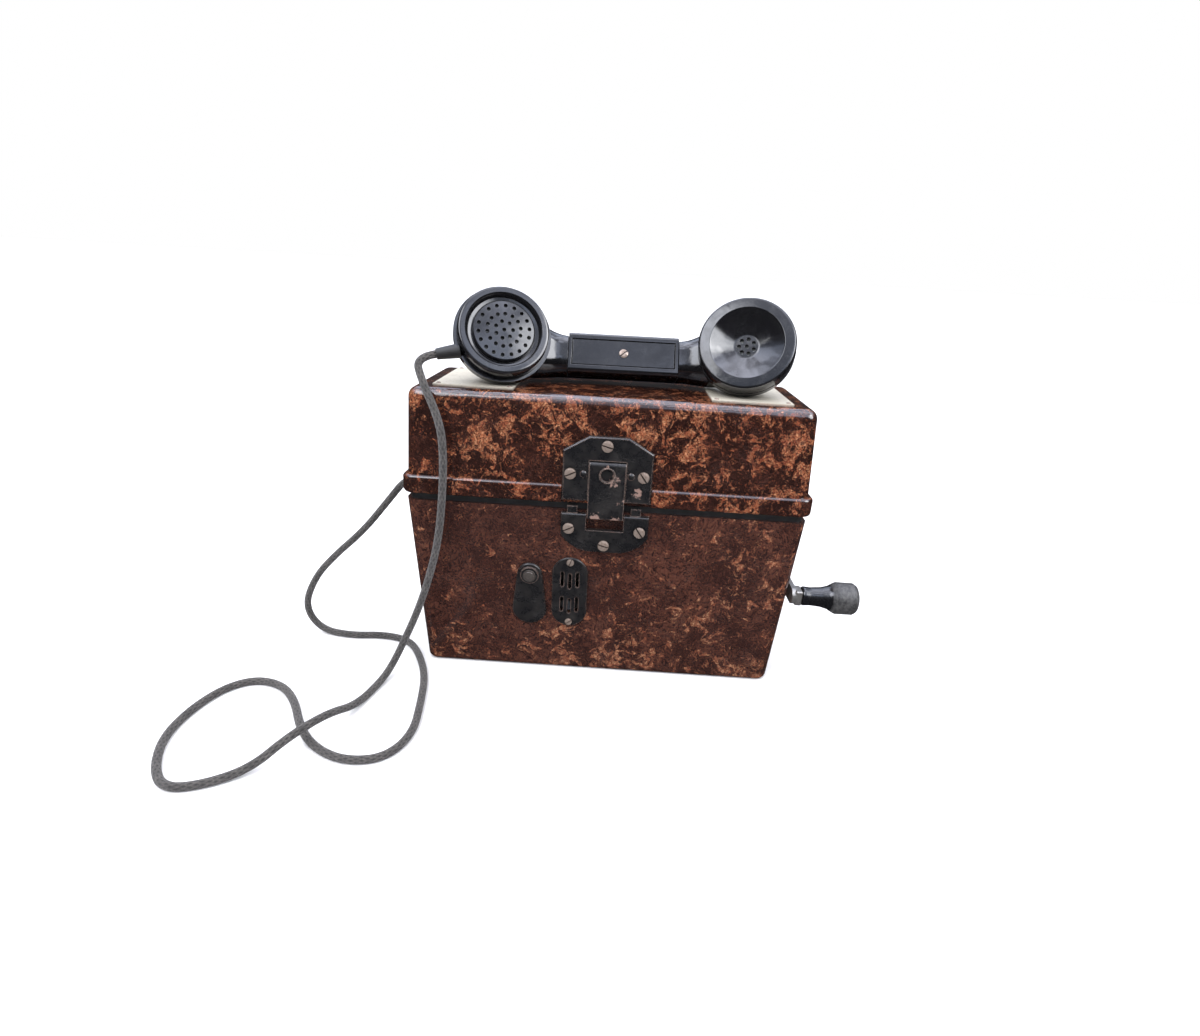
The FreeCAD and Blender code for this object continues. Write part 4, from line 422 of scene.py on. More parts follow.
class Surface:
    """A material under way: its graph, its shader and its coordinates."""

    def __init__(self, name: str) -> None:
        """Starts an empty material with one Principled shader."""
        self.material = bpy.data.materials.new(name)
        self.material.use_nodes = True
        tree = self.material.node_tree
        tree.nodes.clear()
        self.graph = Graph(tree)
        self.shader = self.graph.node("ShaderNodeBsdfPrincipled")
        out = self.graph.node("ShaderNodeOutputMaterial")
        tree.links.new(self.shader.outputs["BSDF"], out.inputs["Surface"])
        self.coordinates = self.graph.node("ShaderNodeTexCoord")

    @property
    def at(self) -> Socket:
        """Object coordinates."""
        return self.coordinates.outputs["Object"]

    def use(self, tree: bpy.types.NodeTree, **inputs: object) -> bpy.types.Node:
        """Places a group and feeds its inputs by name."""
        made = self.graph.node("ShaderNodeGroup", node_tree=tree)
        for label, value in inputs.items():
            self.graph.feed(made.inputs[label], value)
        return made

    def dust(self, amount: float) -> Socket:
        """Where dust lies, from the dust group."""
        normal = self.coordinates.outputs["Normal"]
        return self.use(dust_group(), Vector=self.at, Normal=normal, Amount=amount).outputs["Mask"]

    def wear(self, radius: float, scale: float, amount: float) -> Socket:
        """Where edges are rubbed, from the wear group."""
        group = self.use(wear_group(), Vector=self.at, Radius=radius, Scale=scale, Amount=amount)
        return group.outputs["Mask"]

    def marks(self) -> bpy.types.NodeOutputs:
        """Fine scratches and smears, from the scratch group."""
        return self.use(scratch_group(), Vector=self.at).outputs

    def set(self, **inputs: object) -> None:
        """Sets or links the shader's sockets; an underscore in a name is a space."""
        for label, value in inputs.items():
            self.graph.feed(self.shader.inputs[label.replace("_", " ")], rgba(value))

    def bump(self, height: Socket, distance: float, strength: float = 1.0) -> None:
        """Feeds a bump from a height to the shader's normal."""
        made = self.graph.node("ShaderNodeBump")
        made.inputs["Strength"].default_value = strength
        made.inputs["Distance"].default_value = distance
        self.graph.feed(made.inputs["Height"], height)
        self.graph.feed(self.shader.inputs["Normal"], made.outputs["Normal"])


@dataclass(frozen=True)
class Finish:
    """A finish that builds one material of its name."""

    name: str

    def build(self) -> bpy.types.Material:
        """Builds the material."""
        surface = Surface(self.name)
        self.paint(surface, surface.graph)
        return surface.material

    def paint(self, s: Surface, g: Graph) -> None:
        """Feeds the shader of the surface s through its graph g."""
        raise NotImplementedError


@dataclass(frozen=True)
class MottledResin(Finish):
    """Polished mottled moulding; density grows from one end of the object to the other along the slope."""

    ground: Colour
    haze: Colour
    rust: Colour
    orange: Colour
    tan: Colour
    density: float
    slope: Point
    offset: Point
    dusted: Colour = (0.24, 0.2, 0.17)

    def paint(self, s: Surface, g: Graph) -> None:
        """Layers ground, haze, flecks, dust and scratches."""
        place = g.node("ShaderNodeMapping")
        g.feed(place.inputs["Vector"], s.at)
        place.inputs["Location"].default_value = self.offset
        density = g.plus(g.vector("DOT_PRODUCT", s.at, self.slope), self.density)
        mottle = s.use(mottle_group(), Vector=place.outputs[0], Density=density).outputs
        streak = g.times(g.plus(0.3, g.times(mottle["Haze"], 0.7)), g.step(mottle["Swirl"], 0.38, 0.62))
        ground = g.mix(streak, self.ground, self.haze)
        ground = g.mix(g.times(mottle["Cluster"], 0.55), ground, self.haze)
        fleck = g.ramp(mottle["Tone"], [(0.2, self.rust), (0.5, self.orange), (0.85, self.tan)])
        colour = g.mix(mottle["Fleck"], ground, fleck)
        dust = s.dust(0.12)
        marks = s.marks()
        colour = g.mix(dust, colour, self.dusted)
        rough = g.total(0.1, (marks["Smear"], 0.08), (marks["Lines"], 0.2), (dust, 0.5))
        s.set(Base_Color=colour, Roughness=rough, IOR=1.58, Coat_Weight=0.25, Coat_Roughness=0.08)
        ripple = g.cloud(s.at, 120.0, 2.0, 0.5)
        s.bump(g.plus(ripple, g.times(mottle["Fleck"], 0.04)), 0.0003, 0.35)


@dataclass(frozen=True)
class BlackMoulding(Finish):
    """Polished black moulding with smears, fine scratches and rubbed edges."""

    colour: Colour = (0.006, 0.006, 0.007)
    rubbed: Colour = (0.05, 0.05, 0.052)
    dusted: Colour = (0.16, 0.15, 0.14)
    handled: Colour = (0.066, 0.064, 0.062)
    shine: float = 0.1
    wear: float = 0.3
    matt_beyond: float | None = None

    def paint(self, s: Surface, g: Graph) -> None:
        """Layers polish, wear and dust; past matt_beyond, along X, it is worn matt by the hand."""
        marks = s.marks()
        worn = s.wear(0.7 * MM, 260.0, self.wear)
        dust = s.dust(0.3)
        colour = g.mix(worn, self.colour, self.rubbed)
        colour = g.mix(dust, colour, self.dusted)
        dull = g.larger(worn, dust)
        rough = g.total(self.shine, (marks["Smear"], 0.12), (marks["Lines"], 0.18), (dull, 0.3))
        if self.matt_beyond is not None:
            matt = g.step(g.axes(s.at)["X"], self.matt_beyond, self.matt_beyond + 2 * MM)
            rub = g.step(g.cloud(s.at, 420.0, 4.0, 0.7), 0.3, 0.65)
            colour = g.mix(g.times(matt, rub), colour, self.handled)
            rough = g.blend(matt, rough, 0.55)
        s.set(Base_Color=colour, Roughness=rough, IOR=1.6)
        s.bump(g.cloud(s.at, 150.0, 2.0), 0.0002, 0.25)


@dataclass(frozen=True)
class ChippedPaint(Finish):
    """Black enamel on steel, chipped to primer and metal along its edges."""

    enamel: Colour = (0.0075, 0.0075, 0.0085)
    primer: Colour = (0.23, 0.14, 0.11)
    metal: Colour = (0.42, 0.36, 0.31)
    grime: Colour = (0.016, 0.014, 0.0135)
    scratch: Colour = (0.12, 0.11, 0.10)
    wear: float = 0.42
    worn_places: tuple[tuple[Point, float], ...] = ()

    def paint(self, s: Surface, g: Graph) -> None:
        """Layers paint, primer, bare metal and grime."""
        first = s.wear(1.1 * MM, 330.0, self.wear)
        second = s.wear(0.8 * MM, 420.0, self.wear - 0.12)
        marks = s.marks()
        patches = g.cloud(s.at, 300.0, 5.0, 0.72, 0.6)
        near = 0.0
        for centre, reach in self.worn_places:
            away = g.vector("DISTANCE", s.at, centre)
            near = g.larger(near, g.step(away, reach, 0.25 * reach))
        level = g.minus(0.7, g.times(near, 0.27))
        spots = g.step(patches, level, g.plus(level, 0.03))
        grime = g.step(g.cloud(s.at, 140.0, 4.0, 0.6), 0.4, 0.7)
        coat = g.mix(grime, self.enamel, self.grime)
        bare = g.larger(first, spots)
        colour = g.mix(bare, coat, self.primer)
        colour = g.mix(second, colour, self.metal)
        colour = g.mix(g.times(marks["Lines"], 0.35), colour, self.scratch)
        rough = g.blend(bare, g.plus(0.26, g.times(grime, 0.18)), 0.5)
        s.set(Base_Color=colour, Roughness=rough, Metallic=g.times(second, 0.8))
        height = g.minus(g.times(g.cloud(s.at, 900.0, 3.0), 0.25), bare)
        s.bump(height, 0.00012, 0.6)


@dataclass(frozen=True)
class AgedMetal(Finish):
    """Bare or plated metal with stains and fine scratches."""

    colour: Colour
    stain: Colour
    rough: float = 0.32
    stained: float = 0.5
    metallic: float = 1.0
    # Colour of screw slot floors: grime and painted shade in the slot
    slot_grime_and_shade: Colour = (0.012, 0.010, 0.009)

    def paint(self, s: Surface, g: Graph) -> None:
        """Layers metal, stains, scratches and the dark floors of screw slots, painted darker as grime and as
        painted shade.
        """
        marks = s.marks()
        fine = g.cloud(s.at, 520.0, 5.0, 0.68)
        spots = g.step(fine, 0.72 - 0.3 * self.stained, 0.8 - 0.25 * self.stained)
        broad = g.step(g.cloud(s.at, 90.0, 4.0, 0.6), 0.42, 0.72)
        stain = g.times(g.larger(spots, g.times(broad, 0.6)), self.stained)
        colour = g.mix(stain, self.colour, self.stain)
        # Screw slot floors, marked by the attribute grime, are painted darker: partly grime, partly painted
        # shade in the slot
        grime = g.node("ShaderNodeAttribute", attribute_name="grime").outputs["Fac"]
        colour = g.mix(g.times(grime, 0.85), colour, self.slot_grime_and_shade)
        rough = g.total(self.rough, (stain, 0.3), (marks["Lines"], 0.12))
        metallic = g.minus(self.metallic, g.times(stain, 0.35), clamp=True)
        s.set(Base_Color=colour, Roughness=rough, Metallic=metallic)
        s.bump(g.minus(fine, g.times(marks["Lines"], 0.3)), 0.00008, 0.5)


@dataclass(frozen=True)
class Rubber(Finish):
    """Matt rubber with a pale bloom and a fine grain."""

    colour: Colour = (0.014, 0.014, 0.014)
    bloom: Colour = (0.035, 0.034, 0.033)

    def paint(self, s: Surface, g: Graph) -> None:
        """Clouds the rubber with bloom."""
        cloud = g.step(g.cloud(s.at, 150.0, 4.0, 0.65), 0.4, 0.75)
        worn = s.wear(0.6 * MM, 300.0, 0.3)
        colour = g.mix(g.larger(g.times(cloud, 0.5), worn), self.colour, self.bloom)
        s.set(Base_Color=colour, Roughness=g.plus(0.5, g.times(cloud, 0.2)))
        s.bump(g.cloud(s.at, 1500.0, 3.0, 0.6), 0.0001, 0.4)


@dataclass(frozen=True)
class BraidedCotton(Finish):
    """Grey-black cotton braid, paler where it is rubbed, with painted shade in the gaps between its yarns."""

    dark: Colour = (0.034, 0.031, 0.029)
    pale: Colour = (0.115, 0.105, 0.097)
    # Painted shade for the hollows between the yarns
    between: Colour = (0.012, 0.012, 0.012)

    def paint(self, s: Surface, g: Graph) -> None:
        """Weaves and rubs the yarns, and paints shade into the gaps between them."""
        braid = s.use(braid_group(), UV=s.coordinates.outputs["UV"]).outputs
        fuzz = g.cloud(s.at, 2600.0, 3.0, 0.7)
        rub = g.step(g.cloud(s.at, 130.0, 4.0, 0.7), 0.35, 0.7)
        fade = g.step(g.cloud(s.at, 700.0, 3.0, 0.6), 0.35, 0.7)
        share = g.plus(g.times(rub, 0.45), g.times(fade, 0.5))
        colour = g.mix(share, self.dark, self.pale)
        # Painted shade: the gaps between the yarns are darkened toward the colour between
        colour = g.mix(g.times(braid["Gap"], 0.75), colour, self.between)
        s.set(Base_Color=colour, Roughness=g.plus(0.72, g.times(fuzz, 0.2)))
        s.shader.inputs["Sheen Weight"].default_value = 0.25
        s.shader.inputs["Sheen Roughness"].default_value = 0.5
        s.bump(g.plus(braid["Height"], g.times(fuzz, 0.25)), 0.0004, 0.9)


@dataclass(frozen=True)
class EnamelledWire(Finish):
    """A close winding of enamelled wire, as fine ridges stacked along Z."""

    colour: Colour = (0.32, 0.09, 0.04)
    shaded: Colour = (0.16, 0.045, 0.02)
    pitch: float = 0.5 * MM

    def paint(self, s: Surface, g: Graph) -> None:
        """Winds the wire."""
        ridge = g.math("SINE", g.times(g.axes(s.at)["Z"], math.tau / self.pitch))
        tone = g.cloud(s.at, 260.0, 3.0)
        colour = g.mix(g.step(tone, 0.35, 0.7), self.colour, self.shaded)
        s.set(Base_Color=colour, Roughness=g.plus(0.28, g.times(tone, 0.15)))
        s.bump(ridge, 0.00015, 0.8)


@dataclass(frozen=True)
class WaxedCard(Finish):
    """Brown waxed card with fibres and stains."""

    colour: Colour = (0.30, 0.19, 0.10)
    stained: Colour = (0.17, 0.10, 0.055)
    fibres: Colour = (0.42, 0.31, 0.19)

    def paint(self, s: Surface, g: Graph) -> None:
        """Stains the card and shows its fibres."""
        fibre = g.cloud(s.at, 900.0, 4.0, 0.7, 0.5)
        stain = g.step(g.cloud(s.at, 60.0, 4.0, 0.6), 0.4, 0.7)
        colour = g.mix(stain, self.colour, self.stained)
        colour = g.mix(g.times(fibre, 0.35), colour, self.fibres)
        s.set(Base_Color=colour, Roughness=g.plus(0.42, g.times(fibre, 0.3)))
        s.bump(fibre, 0.0001, 0.5)


# Places on the latch where the paint is chipped, and how far the chips reach, in metres
HASP_WEAR = (
    ((0.0050, -0.056, 0.1555), 0.0075), ((0.0125, -0.058, 0.1400), 0.0070),
    ((-0.0060, -0.058, 0.1280), 0.0090), ((0.0060, -0.058, 0.1260), 0.0080),
    ((0.0205, -0.055, 0.1480), 0.0065), ((-0.0010, -0.056, 0.1650), 0.0050),
)

FINISHES = {
    Slot.CASE_RESIN: MottledResin(
        "mottled_resin_case", ground=(0.020, 0.008, 0.007), haze=(0.092, 0.035, 0.023),
        rust=(0.17, 0.048, 0.026), orange=(0.29, 0.098, 0.049), tan=(0.45, 0.225, 0.12), density=0.46,
        slope=(0.7, 0.0, -2.0), offset=(0.31, 0.07, 0.12)),
    Slot.LID_RESIN: MottledResin(
        "mottled_resin_lid", ground=(0.011, 0.004, 0.0032), haze=(0.052, 0.018, 0.012),
        rust=(0.19, 0.045, 0.022), orange=(0.33, 0.100, 0.043), tan=(0.48, 0.215, 0.105), density=0.56,
        slope=(0.9, 0.0, 0.0), offset=(0.0, 0.02, 0.05)),
    Slot.BLACK_MOULDING: BlackMoulding("black_moulding"),
    Slot.BLACK_PAINT: ChippedPaint("chipped_black_enamel", worn_places=HASP_WEAR),
    Slot.NICKEL: AgedMetal("dull_nickel", (0.34, 0.27, 0.225), (0.13, 0.085, 0.06), 0.4, 0.7, 0.55),
    Slot.STEEL: AgedMetal("plain_steel", (0.30, 0.29, 0.275), (0.08, 0.06, 0.045), 0.36, 0.6, 0.8),
    Slot.BRASS: AgedMetal("plain_brass", (0.62, 0.43, 0.18), (0.2, 0.12, 0.05), 0.3, 0.5),
    Slot.PLATE_METAL: AgedMetal("satin_plate", (0.80, 0.75, 0.63), (0.30, 0.26, 0.19), 0.42, 0.5, 0.35),
    Slot.COPPER_WINDING: EnamelledWire("copper_winding"),
    Slot.CARD: WaxedCard("waxed_card"),
    Slot.CAPSULE_METAL: AgedMetal("spun_sheet", (0.55, 0.55, 0.53), (0.22, 0.19, 0.16), 0.3, 0.4),
    Slot.RUBBER: Rubber("matt_rubber"),
    Slot.BRAID: BraidedCotton("cotton_braid"),
}

_built: dict[Slot, bpy.types.Material] = {}


def material(slot: Slot) -> bpy.types.Material:
    """The material of a slot, built once."""
    if slot not in _built:
        _built[slot] = FINISHES[slot].build()
    return _built[slot]


def slot_of(node: str) -> Slot:
    """The slot that the record gives a node."""
    for row in frame["record"]["subparts"]:
        if row["node"] == node:
            return Slot(row["material_slot"])
    raise KeyError(node)


def dress(piece: bpy.types.Object, slot: Slot, own: bpy.types.Material | None = None) -> None:
    """Gives a piece its slot's material, or one of its own."""
    piece.data.materials.clear()
    piece.data.materials.append(own or material(slot))
    for polygon in piece.data.polygons:
        polygon.material_index = 0


def settle(piece: bpy.types.Object, body: Body, node: str) -> None:
    """Rides a finished piece on its body and hides the node that it stands for."""
    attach(piece, body.value)
    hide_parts(node)


def link(name: str, data: bpy.types.ID) -> bpy.types.Object:
    """A new object in the scene for a mesh, a curve, a light or a camera."""
    piece = bpy.data.objects.new(name, data)
    bpy.context.scene.collection.objects.link(piece)
    return piece


def baked(piece: bpy.types.Object) -> bpy.types.Object:
    """Turns the modifiers of a piece into a plain mesh."""
    graph = bpy.context.evaluated_depsgraph_get()
    mesh = bpy.data.meshes.new_from_object(piece.evaluated_get(graph))
    piece.modifiers.clear()
    piece.data = mesh
    return piece


MERGE_DISTANCE = 0.001 * MM
FLAT_ANGLE = math.radians(0.3)
SMOOTH_ANGLE = math.radians(32)
EASED_STEPS = 2
FACE_WEIGHT = 80


def smoothed(mesh: bpy.types.Mesh) -> None:
    """Shades a mesh smooth, apart from its sharp edges."""
    mesh.polygons.foreach_set("use_smooth", [True] * len(mesh.polygons))
    mesh.set_sharp_from_angle(angle=SMOOTH_ANGLE)


def refined(node: str, edge: float) -> bpy.types.Object:
    """A clean copy of a CAD node with eased edges and smooth shading.

    Args:
        node: the CAD node.
        edge: radius of the eased edges.

    Returns:
        The new piece, at the node's place and not yet riding.
    """
    mesh = frame["nodes"][node].data.copy()
    mesh.name = node + "_mesh"
    shape = bmesh.new()
    shape.from_mesh(mesh)
    bmesh.ops.remove_doubles(shape, verts=shape.verts, dist=MERGE_DISTANCE)
    bmesh.ops.dissolve_limit(shape, angle_limit=FLAT_ANGLE, verts=shape.verts, edges=shape.edges)
    shape.to_mesh(mesh)
    shape.free()
    for name in [a.name for a in mesh.attributes if a.name.startswith("custom_normal")]:
        mesh.attributes.remove(mesh.attributes[name])
    smoothed(mesh)
    piece = link(node + "_skin", mesh)
    eased = piece.modifiers.new("eased", "BEVEL")
    eased.width = edge
    eased.segments = EASED_STEPS
    eased.limit_method = "ANGLE"
    eased.angle_limit = SMOOTH_ANGLE
    eased.use_clamp_overlap = True
    eased.harden_normals = False
    eased.miter_outer = "MITER_ARC"
    weighted = piece.modifiers.new("weighted", "WEIGHTED_NORMAL")
    weighted.keep_sharp = True
    weighted.weight = FACE_WEIGHT
    return baked(piece)


# A head has radius one and its top at nought; its profiles are (radius, height)
HEAD_SIDES = 14
SLOT_HALF = 0.13
SLOT_DEPTH = 0.34
SLOTTED_PROFILE = ((1.0, -SLOT_DEPTH), (1.0, -0.26), (0.95, -0.13), (0.80, -0.05), (0.52, 0.0))
DOMED_PROFILE = ((1.0, -1.0), (1.0, -0.42), (0.94, -0.26), (0.76, -0.11), (0.42, -0.02))


def round_ring(radius: float, z: float, sides: int) -> list[Vector]:
    """A level ring of points round the Z axis."""
    angles = [math.tau * k / sides for k in range(sides)]
    return [Vector((radius * math.cos(a), radius * math.sin(a), z)) for a in angles]


def loft(shape: bmesh.types.BMesh, rings: Sequence[Sequence[Vector]]) -> list[bmesh.types.BMFace]:
    """Closes a stack of equal rings into a solid and returns its faces, the last cap at the end."""
    layers = [[shape.verts.new(spot) for spot in ring] for ring in rings]
    count, faces = len(layers[0]), []
    for below, above in zip(layers, layers[1:]):
        for k in range(count):
            n = (k + 1) % count
            faces.append(shape.faces.new((below[k], below[n], above[n], above[k])))
    return faces + [shape.faces.new(list(reversed(layers[0]))), shape.faces.new(layers[-1])]


def closed_mesh(shape: bmesh.types.BMesh, name: str) -> bpy.types.Mesh:
    """A mesh of a closed shape with its normals outward; the shape is freed."""
    bmesh.ops.recalc_face_normals(shape, faces=shape.faces)
    mesh = bpy.data.meshes.new(name)
    shape.to_mesh(mesh)
    shape.free()
    return mesh


def head_mesh(name: str, slotted: bool) -> bpy.types.Mesh:
    """A head of radius one with its top at nought: a plain dome, or two half domes over a slot's floor.

    Args:
        name: the mesh's name.
        slotted: True for a screw's head.

    Returns:
        The mesh, whose slot floor has the attribute grime, which the finish paints darker as grime and as
        painted shade.
    """
    shape = bmesh.new()
    grime = shape.faces.layers.float.new("grime")
    if slotted:
        # The slot's floor is marked grime, to be painted darker: grime and painted shade in the slot
        loft(shape, [round_ring(1.0, z, 2 * HEAD_SIDES) for z in (-1.0, -SLOT_DEPTH)])[-1][grime] = 1.0
        for side in (1.0, -1.0):
            rings = []
            for radius, z in SLOTTED_PROFILE:
                first = math.asin(SLOT_HALF / radius)
                span = math.pi - 2 * first
                angles = [first + span * k / (HEAD_SIDES - 1) for k in range(HEAD_SIDES)]
                half = side * radius
                rings.append([Vector((half * math.cos(a), half * math.sin(a), z)) for a in angles])
            loft(shape, rings)
    else:
        loft(shape, [round_ring(radius, z, HEAD_SIDES) for radius, z in DOMED_PROFILE])
    mesh = closed_mesh(shape, name)
    smoothed(mesh)
    return mesh


def heads_tree() -> bpy.types.NodeTree:
    """Geometry nodes that set one head on every point, turned and sized by the point's own attributes."""
    found = bpy.data.node_groups.get("set_heads")
    if found:
        return found
    tree = bpy.data.node_groups.new("set_heads", "GeometryNodeTree")
    sockets = (("Places", "INPUT", "Geometry"), ("Head", "INPUT", "Object"), ("Finish", "INPUT", "Material"),
               ("Heads", "OUTPUT", "Geometry"))
    for label, way, kind in sockets:
        tree.interface.new_socket(label, in_out=way, socket_type="NodeSocket" + kind)
    g = Graph(tree)
    entry, leave = g.node("NodeGroupInput"), g.node("NodeGroupOutput")
    head, placed = g.node("GeometryNodeObjectInfo"), g.node("GeometryNodeInstanceOnPoints")
    g.feed(head.inputs["Object"], entry.outputs["Head"])
    g.feed(placed.inputs["Points"], entry.outputs["Places"])
    g.feed(placed.inputs["Instance"], head.outputs["Geometry"])
    for label, kind, target in (("turn", "FLOAT_VECTOR", "Rotation"), ("size", "FLOAT", "Scale")):
        named = g.node("GeometryNodeInputNamedAttribute", data_type=kind)
        named.inputs["Name"].default_value = label
        g.feed(placed.inputs[target], named.outputs["Attribute"])
    real, painted = g.node("GeometryNodeRealizeInstances"), g.node("GeometryNodeSetMaterial")
    g.feed(real.inputs[0], placed.outputs[0])
    g.feed(painted.inputs["Geometry"], real.outputs[0])
    g.feed(painted.inputs["Material"], entry.outputs["Finish"])
    g.feed(leave.inputs["Heads"], painted.outputs[0])
    return tree


def islands(node: str) -> list[tuple[list[Vector], list[tuple[Vector, float]]]]:
    """The separate solids of a CAD node, each as its points and its faces' (normal, area)."""
    shape = bmesh.new()
    shape.from_mesh(frame["nodes"][node].data)
    bmesh.ops.remove_doubles(shape, verts=shape.verts, dist=MERGE_DISTANCE)
    left, found = set(shape.verts), []
    while left:
        front = [left.pop()]
        members = set(front)
        while front:
            for edge in front.pop().link_edges:
                for vert in edge.verts:
                    if vert not in members:
                        members.add(vert)
                        front.append(vert)
        left -= members
        points = [vert.co.copy() for vert in shape.verts if vert in members]
        faces = [(face.normal.copy(), face.calc_area()) for face in shape.faces if face.verts[0] in members]
        found.append((points, faces))
    shape.free()
    return sorted(found, key=lambda solid: first_place(solid[0]))


def first_place(points: Sequence[Vector]) -> tuple[float, ...]:
    """The first of some points by depth, width and height, to a tenth of a millimetre."""
    return min((round(p.y, 4), round(p.x, 4), round(p.z, 4)) for p in points)


# A head nearer to the middle plane than this sits on the deck and faces up
DECK_HALF_DEPTH = 42 * MM
# Least share of a face's normal along the head's side for it to count as the head's top
OUTWARD_SHARE = 0.8


@dataclass(frozen=True)
class Fasteners:
    """Screws or nails of one CAD node, set as modelled heads where the solids are; slots are in degrees."""

    node: str
    slotted: bool = True
    facing: Point | None = None
    slots: tuple[float, ...] = (25.0, -55.0, -15.0, 70.0, 35.0, -20.0, 30.0, -40.0)

    def outward(self, centre: Vector) -> Vector:
        """The side that a head faces: its own, or front, back or up by its place."""
        if self.facing is not None:
            return Vector(self.facing).normalized()
        if abs(centre.y) < DECK_HALF_DEPTH:
            return Vector((0.0, 0.0, 1.0))
        return Vector((0.0, math.copysign(1.0, centre.y), 0.0))

    def build(self, body: Body) -> None:
        """Places the heads, makes one plain mesh of them and seats it."""
        spots, turns, sizes = [], [], []
        for k, (points, faces) in enumerate(islands(self.node)):
            middle = sum(points, Vector()) / len(points)
            hint = self.outward(middle)
            axis = sum((n * area for n, area in faces if n.dot(hint) > OUTWARD_SHARE), Vector()).normalized()
            turn = axis.to_track_quat("Z", "Y")
            local = [turn.inverted() @ p for p in points]
            low = [min(p[i] for p in local) for i in range(3)]
            high = [max(p[i] for p in local) for i in range(3)]
            spots.append(turn @ Vector(((low[0] + high[0]) / 2, (low[1] + high[1]) / 2, high[2])))
            slot_turn = Matrix.Rotation(math.radians(self.slots[k % len(self.slots)]), 4, "Z").to_quaternion()
            turns.extend((turn @ slot_turn).to_euler())
            sizes.append((high[0] - low[0]) / 2)
        mesh = bpy.data.meshes.new(self.node + "_places")
        mesh.from_pydata(spots, [], [])
        mesh.attributes.new("turn", "FLOAT_VECTOR", "POINT").data.foreach_set("vector", turns)
        mesh.attributes.new("size", "FLOAT", "POINT").data.foreach_set("value", sizes)
        piece = link(self.node + "_heads", mesh)
        head = link(self.node + "_head", head_mesh(self.node + "_head", self.slotted))
        modifier = piece.modifiers.new("heads", "NODES")
        modifier.node_group = heads_tree()
        given = {"Head": head, "Finish": material(slot_of(self.node))}
        for item in modifier.node_group.interface.items_tree:
            if item.name in given:
                modifier[item.identifier] = given[item.name]
        baked(piece)
        bpy.data.objects.remove(head)
        dress(piece, slot_of(self.node))
        settle(piece, body, self.node)
        LOG.info("%s: %d heads", piece.name, len(spots))


@dataclass
class SubAssembly:
    """Pieces of one body: CAD nodes with the radius in mm of their eased edges, and rows of heads."""

    body: Body
    edges: tuple[tuple[str, float], ...]
    fasteners: tuple[Fasteners, ...] = ()

    def finish_of(self, node: str) -> bpy.types.Material | None:
        """A finish apart from the slot's, where a piece has one."""
        return None

    def build(self) -> set[str]:
        """Builds every piece and returns the nodes that they stand for."""
        for node, edge in self.edges:
            piece = refined(node, edge * MM)
            dress(piece, slot_of(node), self.finish_of(node))
            settle(piece, self.body, node)
            LOG.info("%s: %d faces", piece.name, len(piece.data.polygons))
        for row in self.fasteners:
            row.build(self.body)
        return {node for node, _ in self.edges} | {row.node for row in self.fasteners}


@dataclass
class Case(SubAssembly):
    """The case with its seal, keeper, louvred plate, socket, deck and terminals."""

    body: Body = Body.CASE
    edges: tuple[tuple[str, float], ...] = (
        ("case_shell", 0.5), ("lid_seal", 0.3), ("case_hinge_leaves", 0.3), ("hinge_pins", 0.3),
        ("keeper_plate", 0.25), ("sound_plate", 0.15), ("cover_pivot", 0.15), ("jack_socket", 0.2),
        ("inner_panel", 0.4), ("line_terminals", 0.2), ("handset_rests", 0.8), ("shaft_bush", 0.3),
        ("cord_gland", 0.3),
    )
    fasteners: tuple[Fasteners, ...] = (Fasteners("case_screws"),)

    def finish_of(self, node: str) -> bpy.types.Material | None:
        """The cover's pivot is browned, darker than the screws."""
        if node != "cover_pivot":
            return None
        return AgedMetal("browned_pivot", (0.10, 0.085, 0.075), (0.025, 0.022, 0.02), 0.34, 0.6, 0.5).build()


@dataclass
class Lid(SubAssembly):
    """The lid with its latch plate, hinge leaves and the two plain plates on its top."""

    body: Body = Body.LID
    edges: tuple[tuple[str, float], ...] = (
        ("lid_shell", 0.6), ("lid_hinge_leaves", 0.3), ("name_plates", 0.1), ("latch_plate", 0.25),
        ("hasp_pin", 0.2),
    )
    fasteners: tuple[Fasteners, ...] = (
        Fasteners("lid_screws"), Fasteners("plate_nails", slotted=False, facing=(0.0, 0.0, 1.0)),
    )


@dataclass
class Hasp(SubAssembly):
    """The hasp of the latch."""

    body: Body = Body.HASP
    edges: tuple[tuple[str, float], ...] = (("latch_hasp", 0.25),)


@dataclass
class SwivelCover(SubAssembly):
    """The cover that swings away from the socket."""

    body: Body = Body.COVER
    edges: tuple[tuple[str, float], ...] = (("swivel_cover", 0.2),)


@dataclass
class Crank(SubAssembly):
    """The crank's shaft, arm, nut and spindle."""

    body: Body = Body.CRANK
    edges: tuple[tuple[str, float], ...] = (
        ("crank_shaft", 0.2), ("crank_arm", 0.4), ("hub_nut", 0.2), ("crank_spindle", 0.2),
    )


@dataclass
class Grip(SubAssembly):
    """The turned grip, polished at its neck and worn matt at its end."""

    body: Body = Body.GRIP
    edges: tuple[tuple[str, float], ...] = (("crank_grip", 0.3),)

    def finish_of(self, node: str) -> bpy.types.Material | None:
        """The black moulding, matt over the outer half."""
        low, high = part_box(node)
        return BlackMoulding("worn_grip", matt_beyond=(low[0] + high[0]) / 2).build()


@dataclass
class Handset(SubAssembly):
    """The handset's shell, its two caps and the cord's boot."""

    body: Body = Body.HANDSET
    edges: tuple[tuple[str, float], ...] = (
        ("handset_shell", 0.4), ("mouthpiece_cap", 0.12), ("earpiece_cap", 0.15), ("cord_boot", 0.3),
    )


@dataclass
class TalkKey(SubAssembly):
    """The talk key with its let-in plate and screw."""

    body: Body = Body.KEY
    edges: tuple[tuple[str, float], ...] = (("talk_key", 0.3), ("key_plate", 0.15))
    fasteners: tuple[Fasteners, ...] = (Fasteners("key_screw", facing=(0.0, -0.88, 0.48), slots=(40.0,)),)


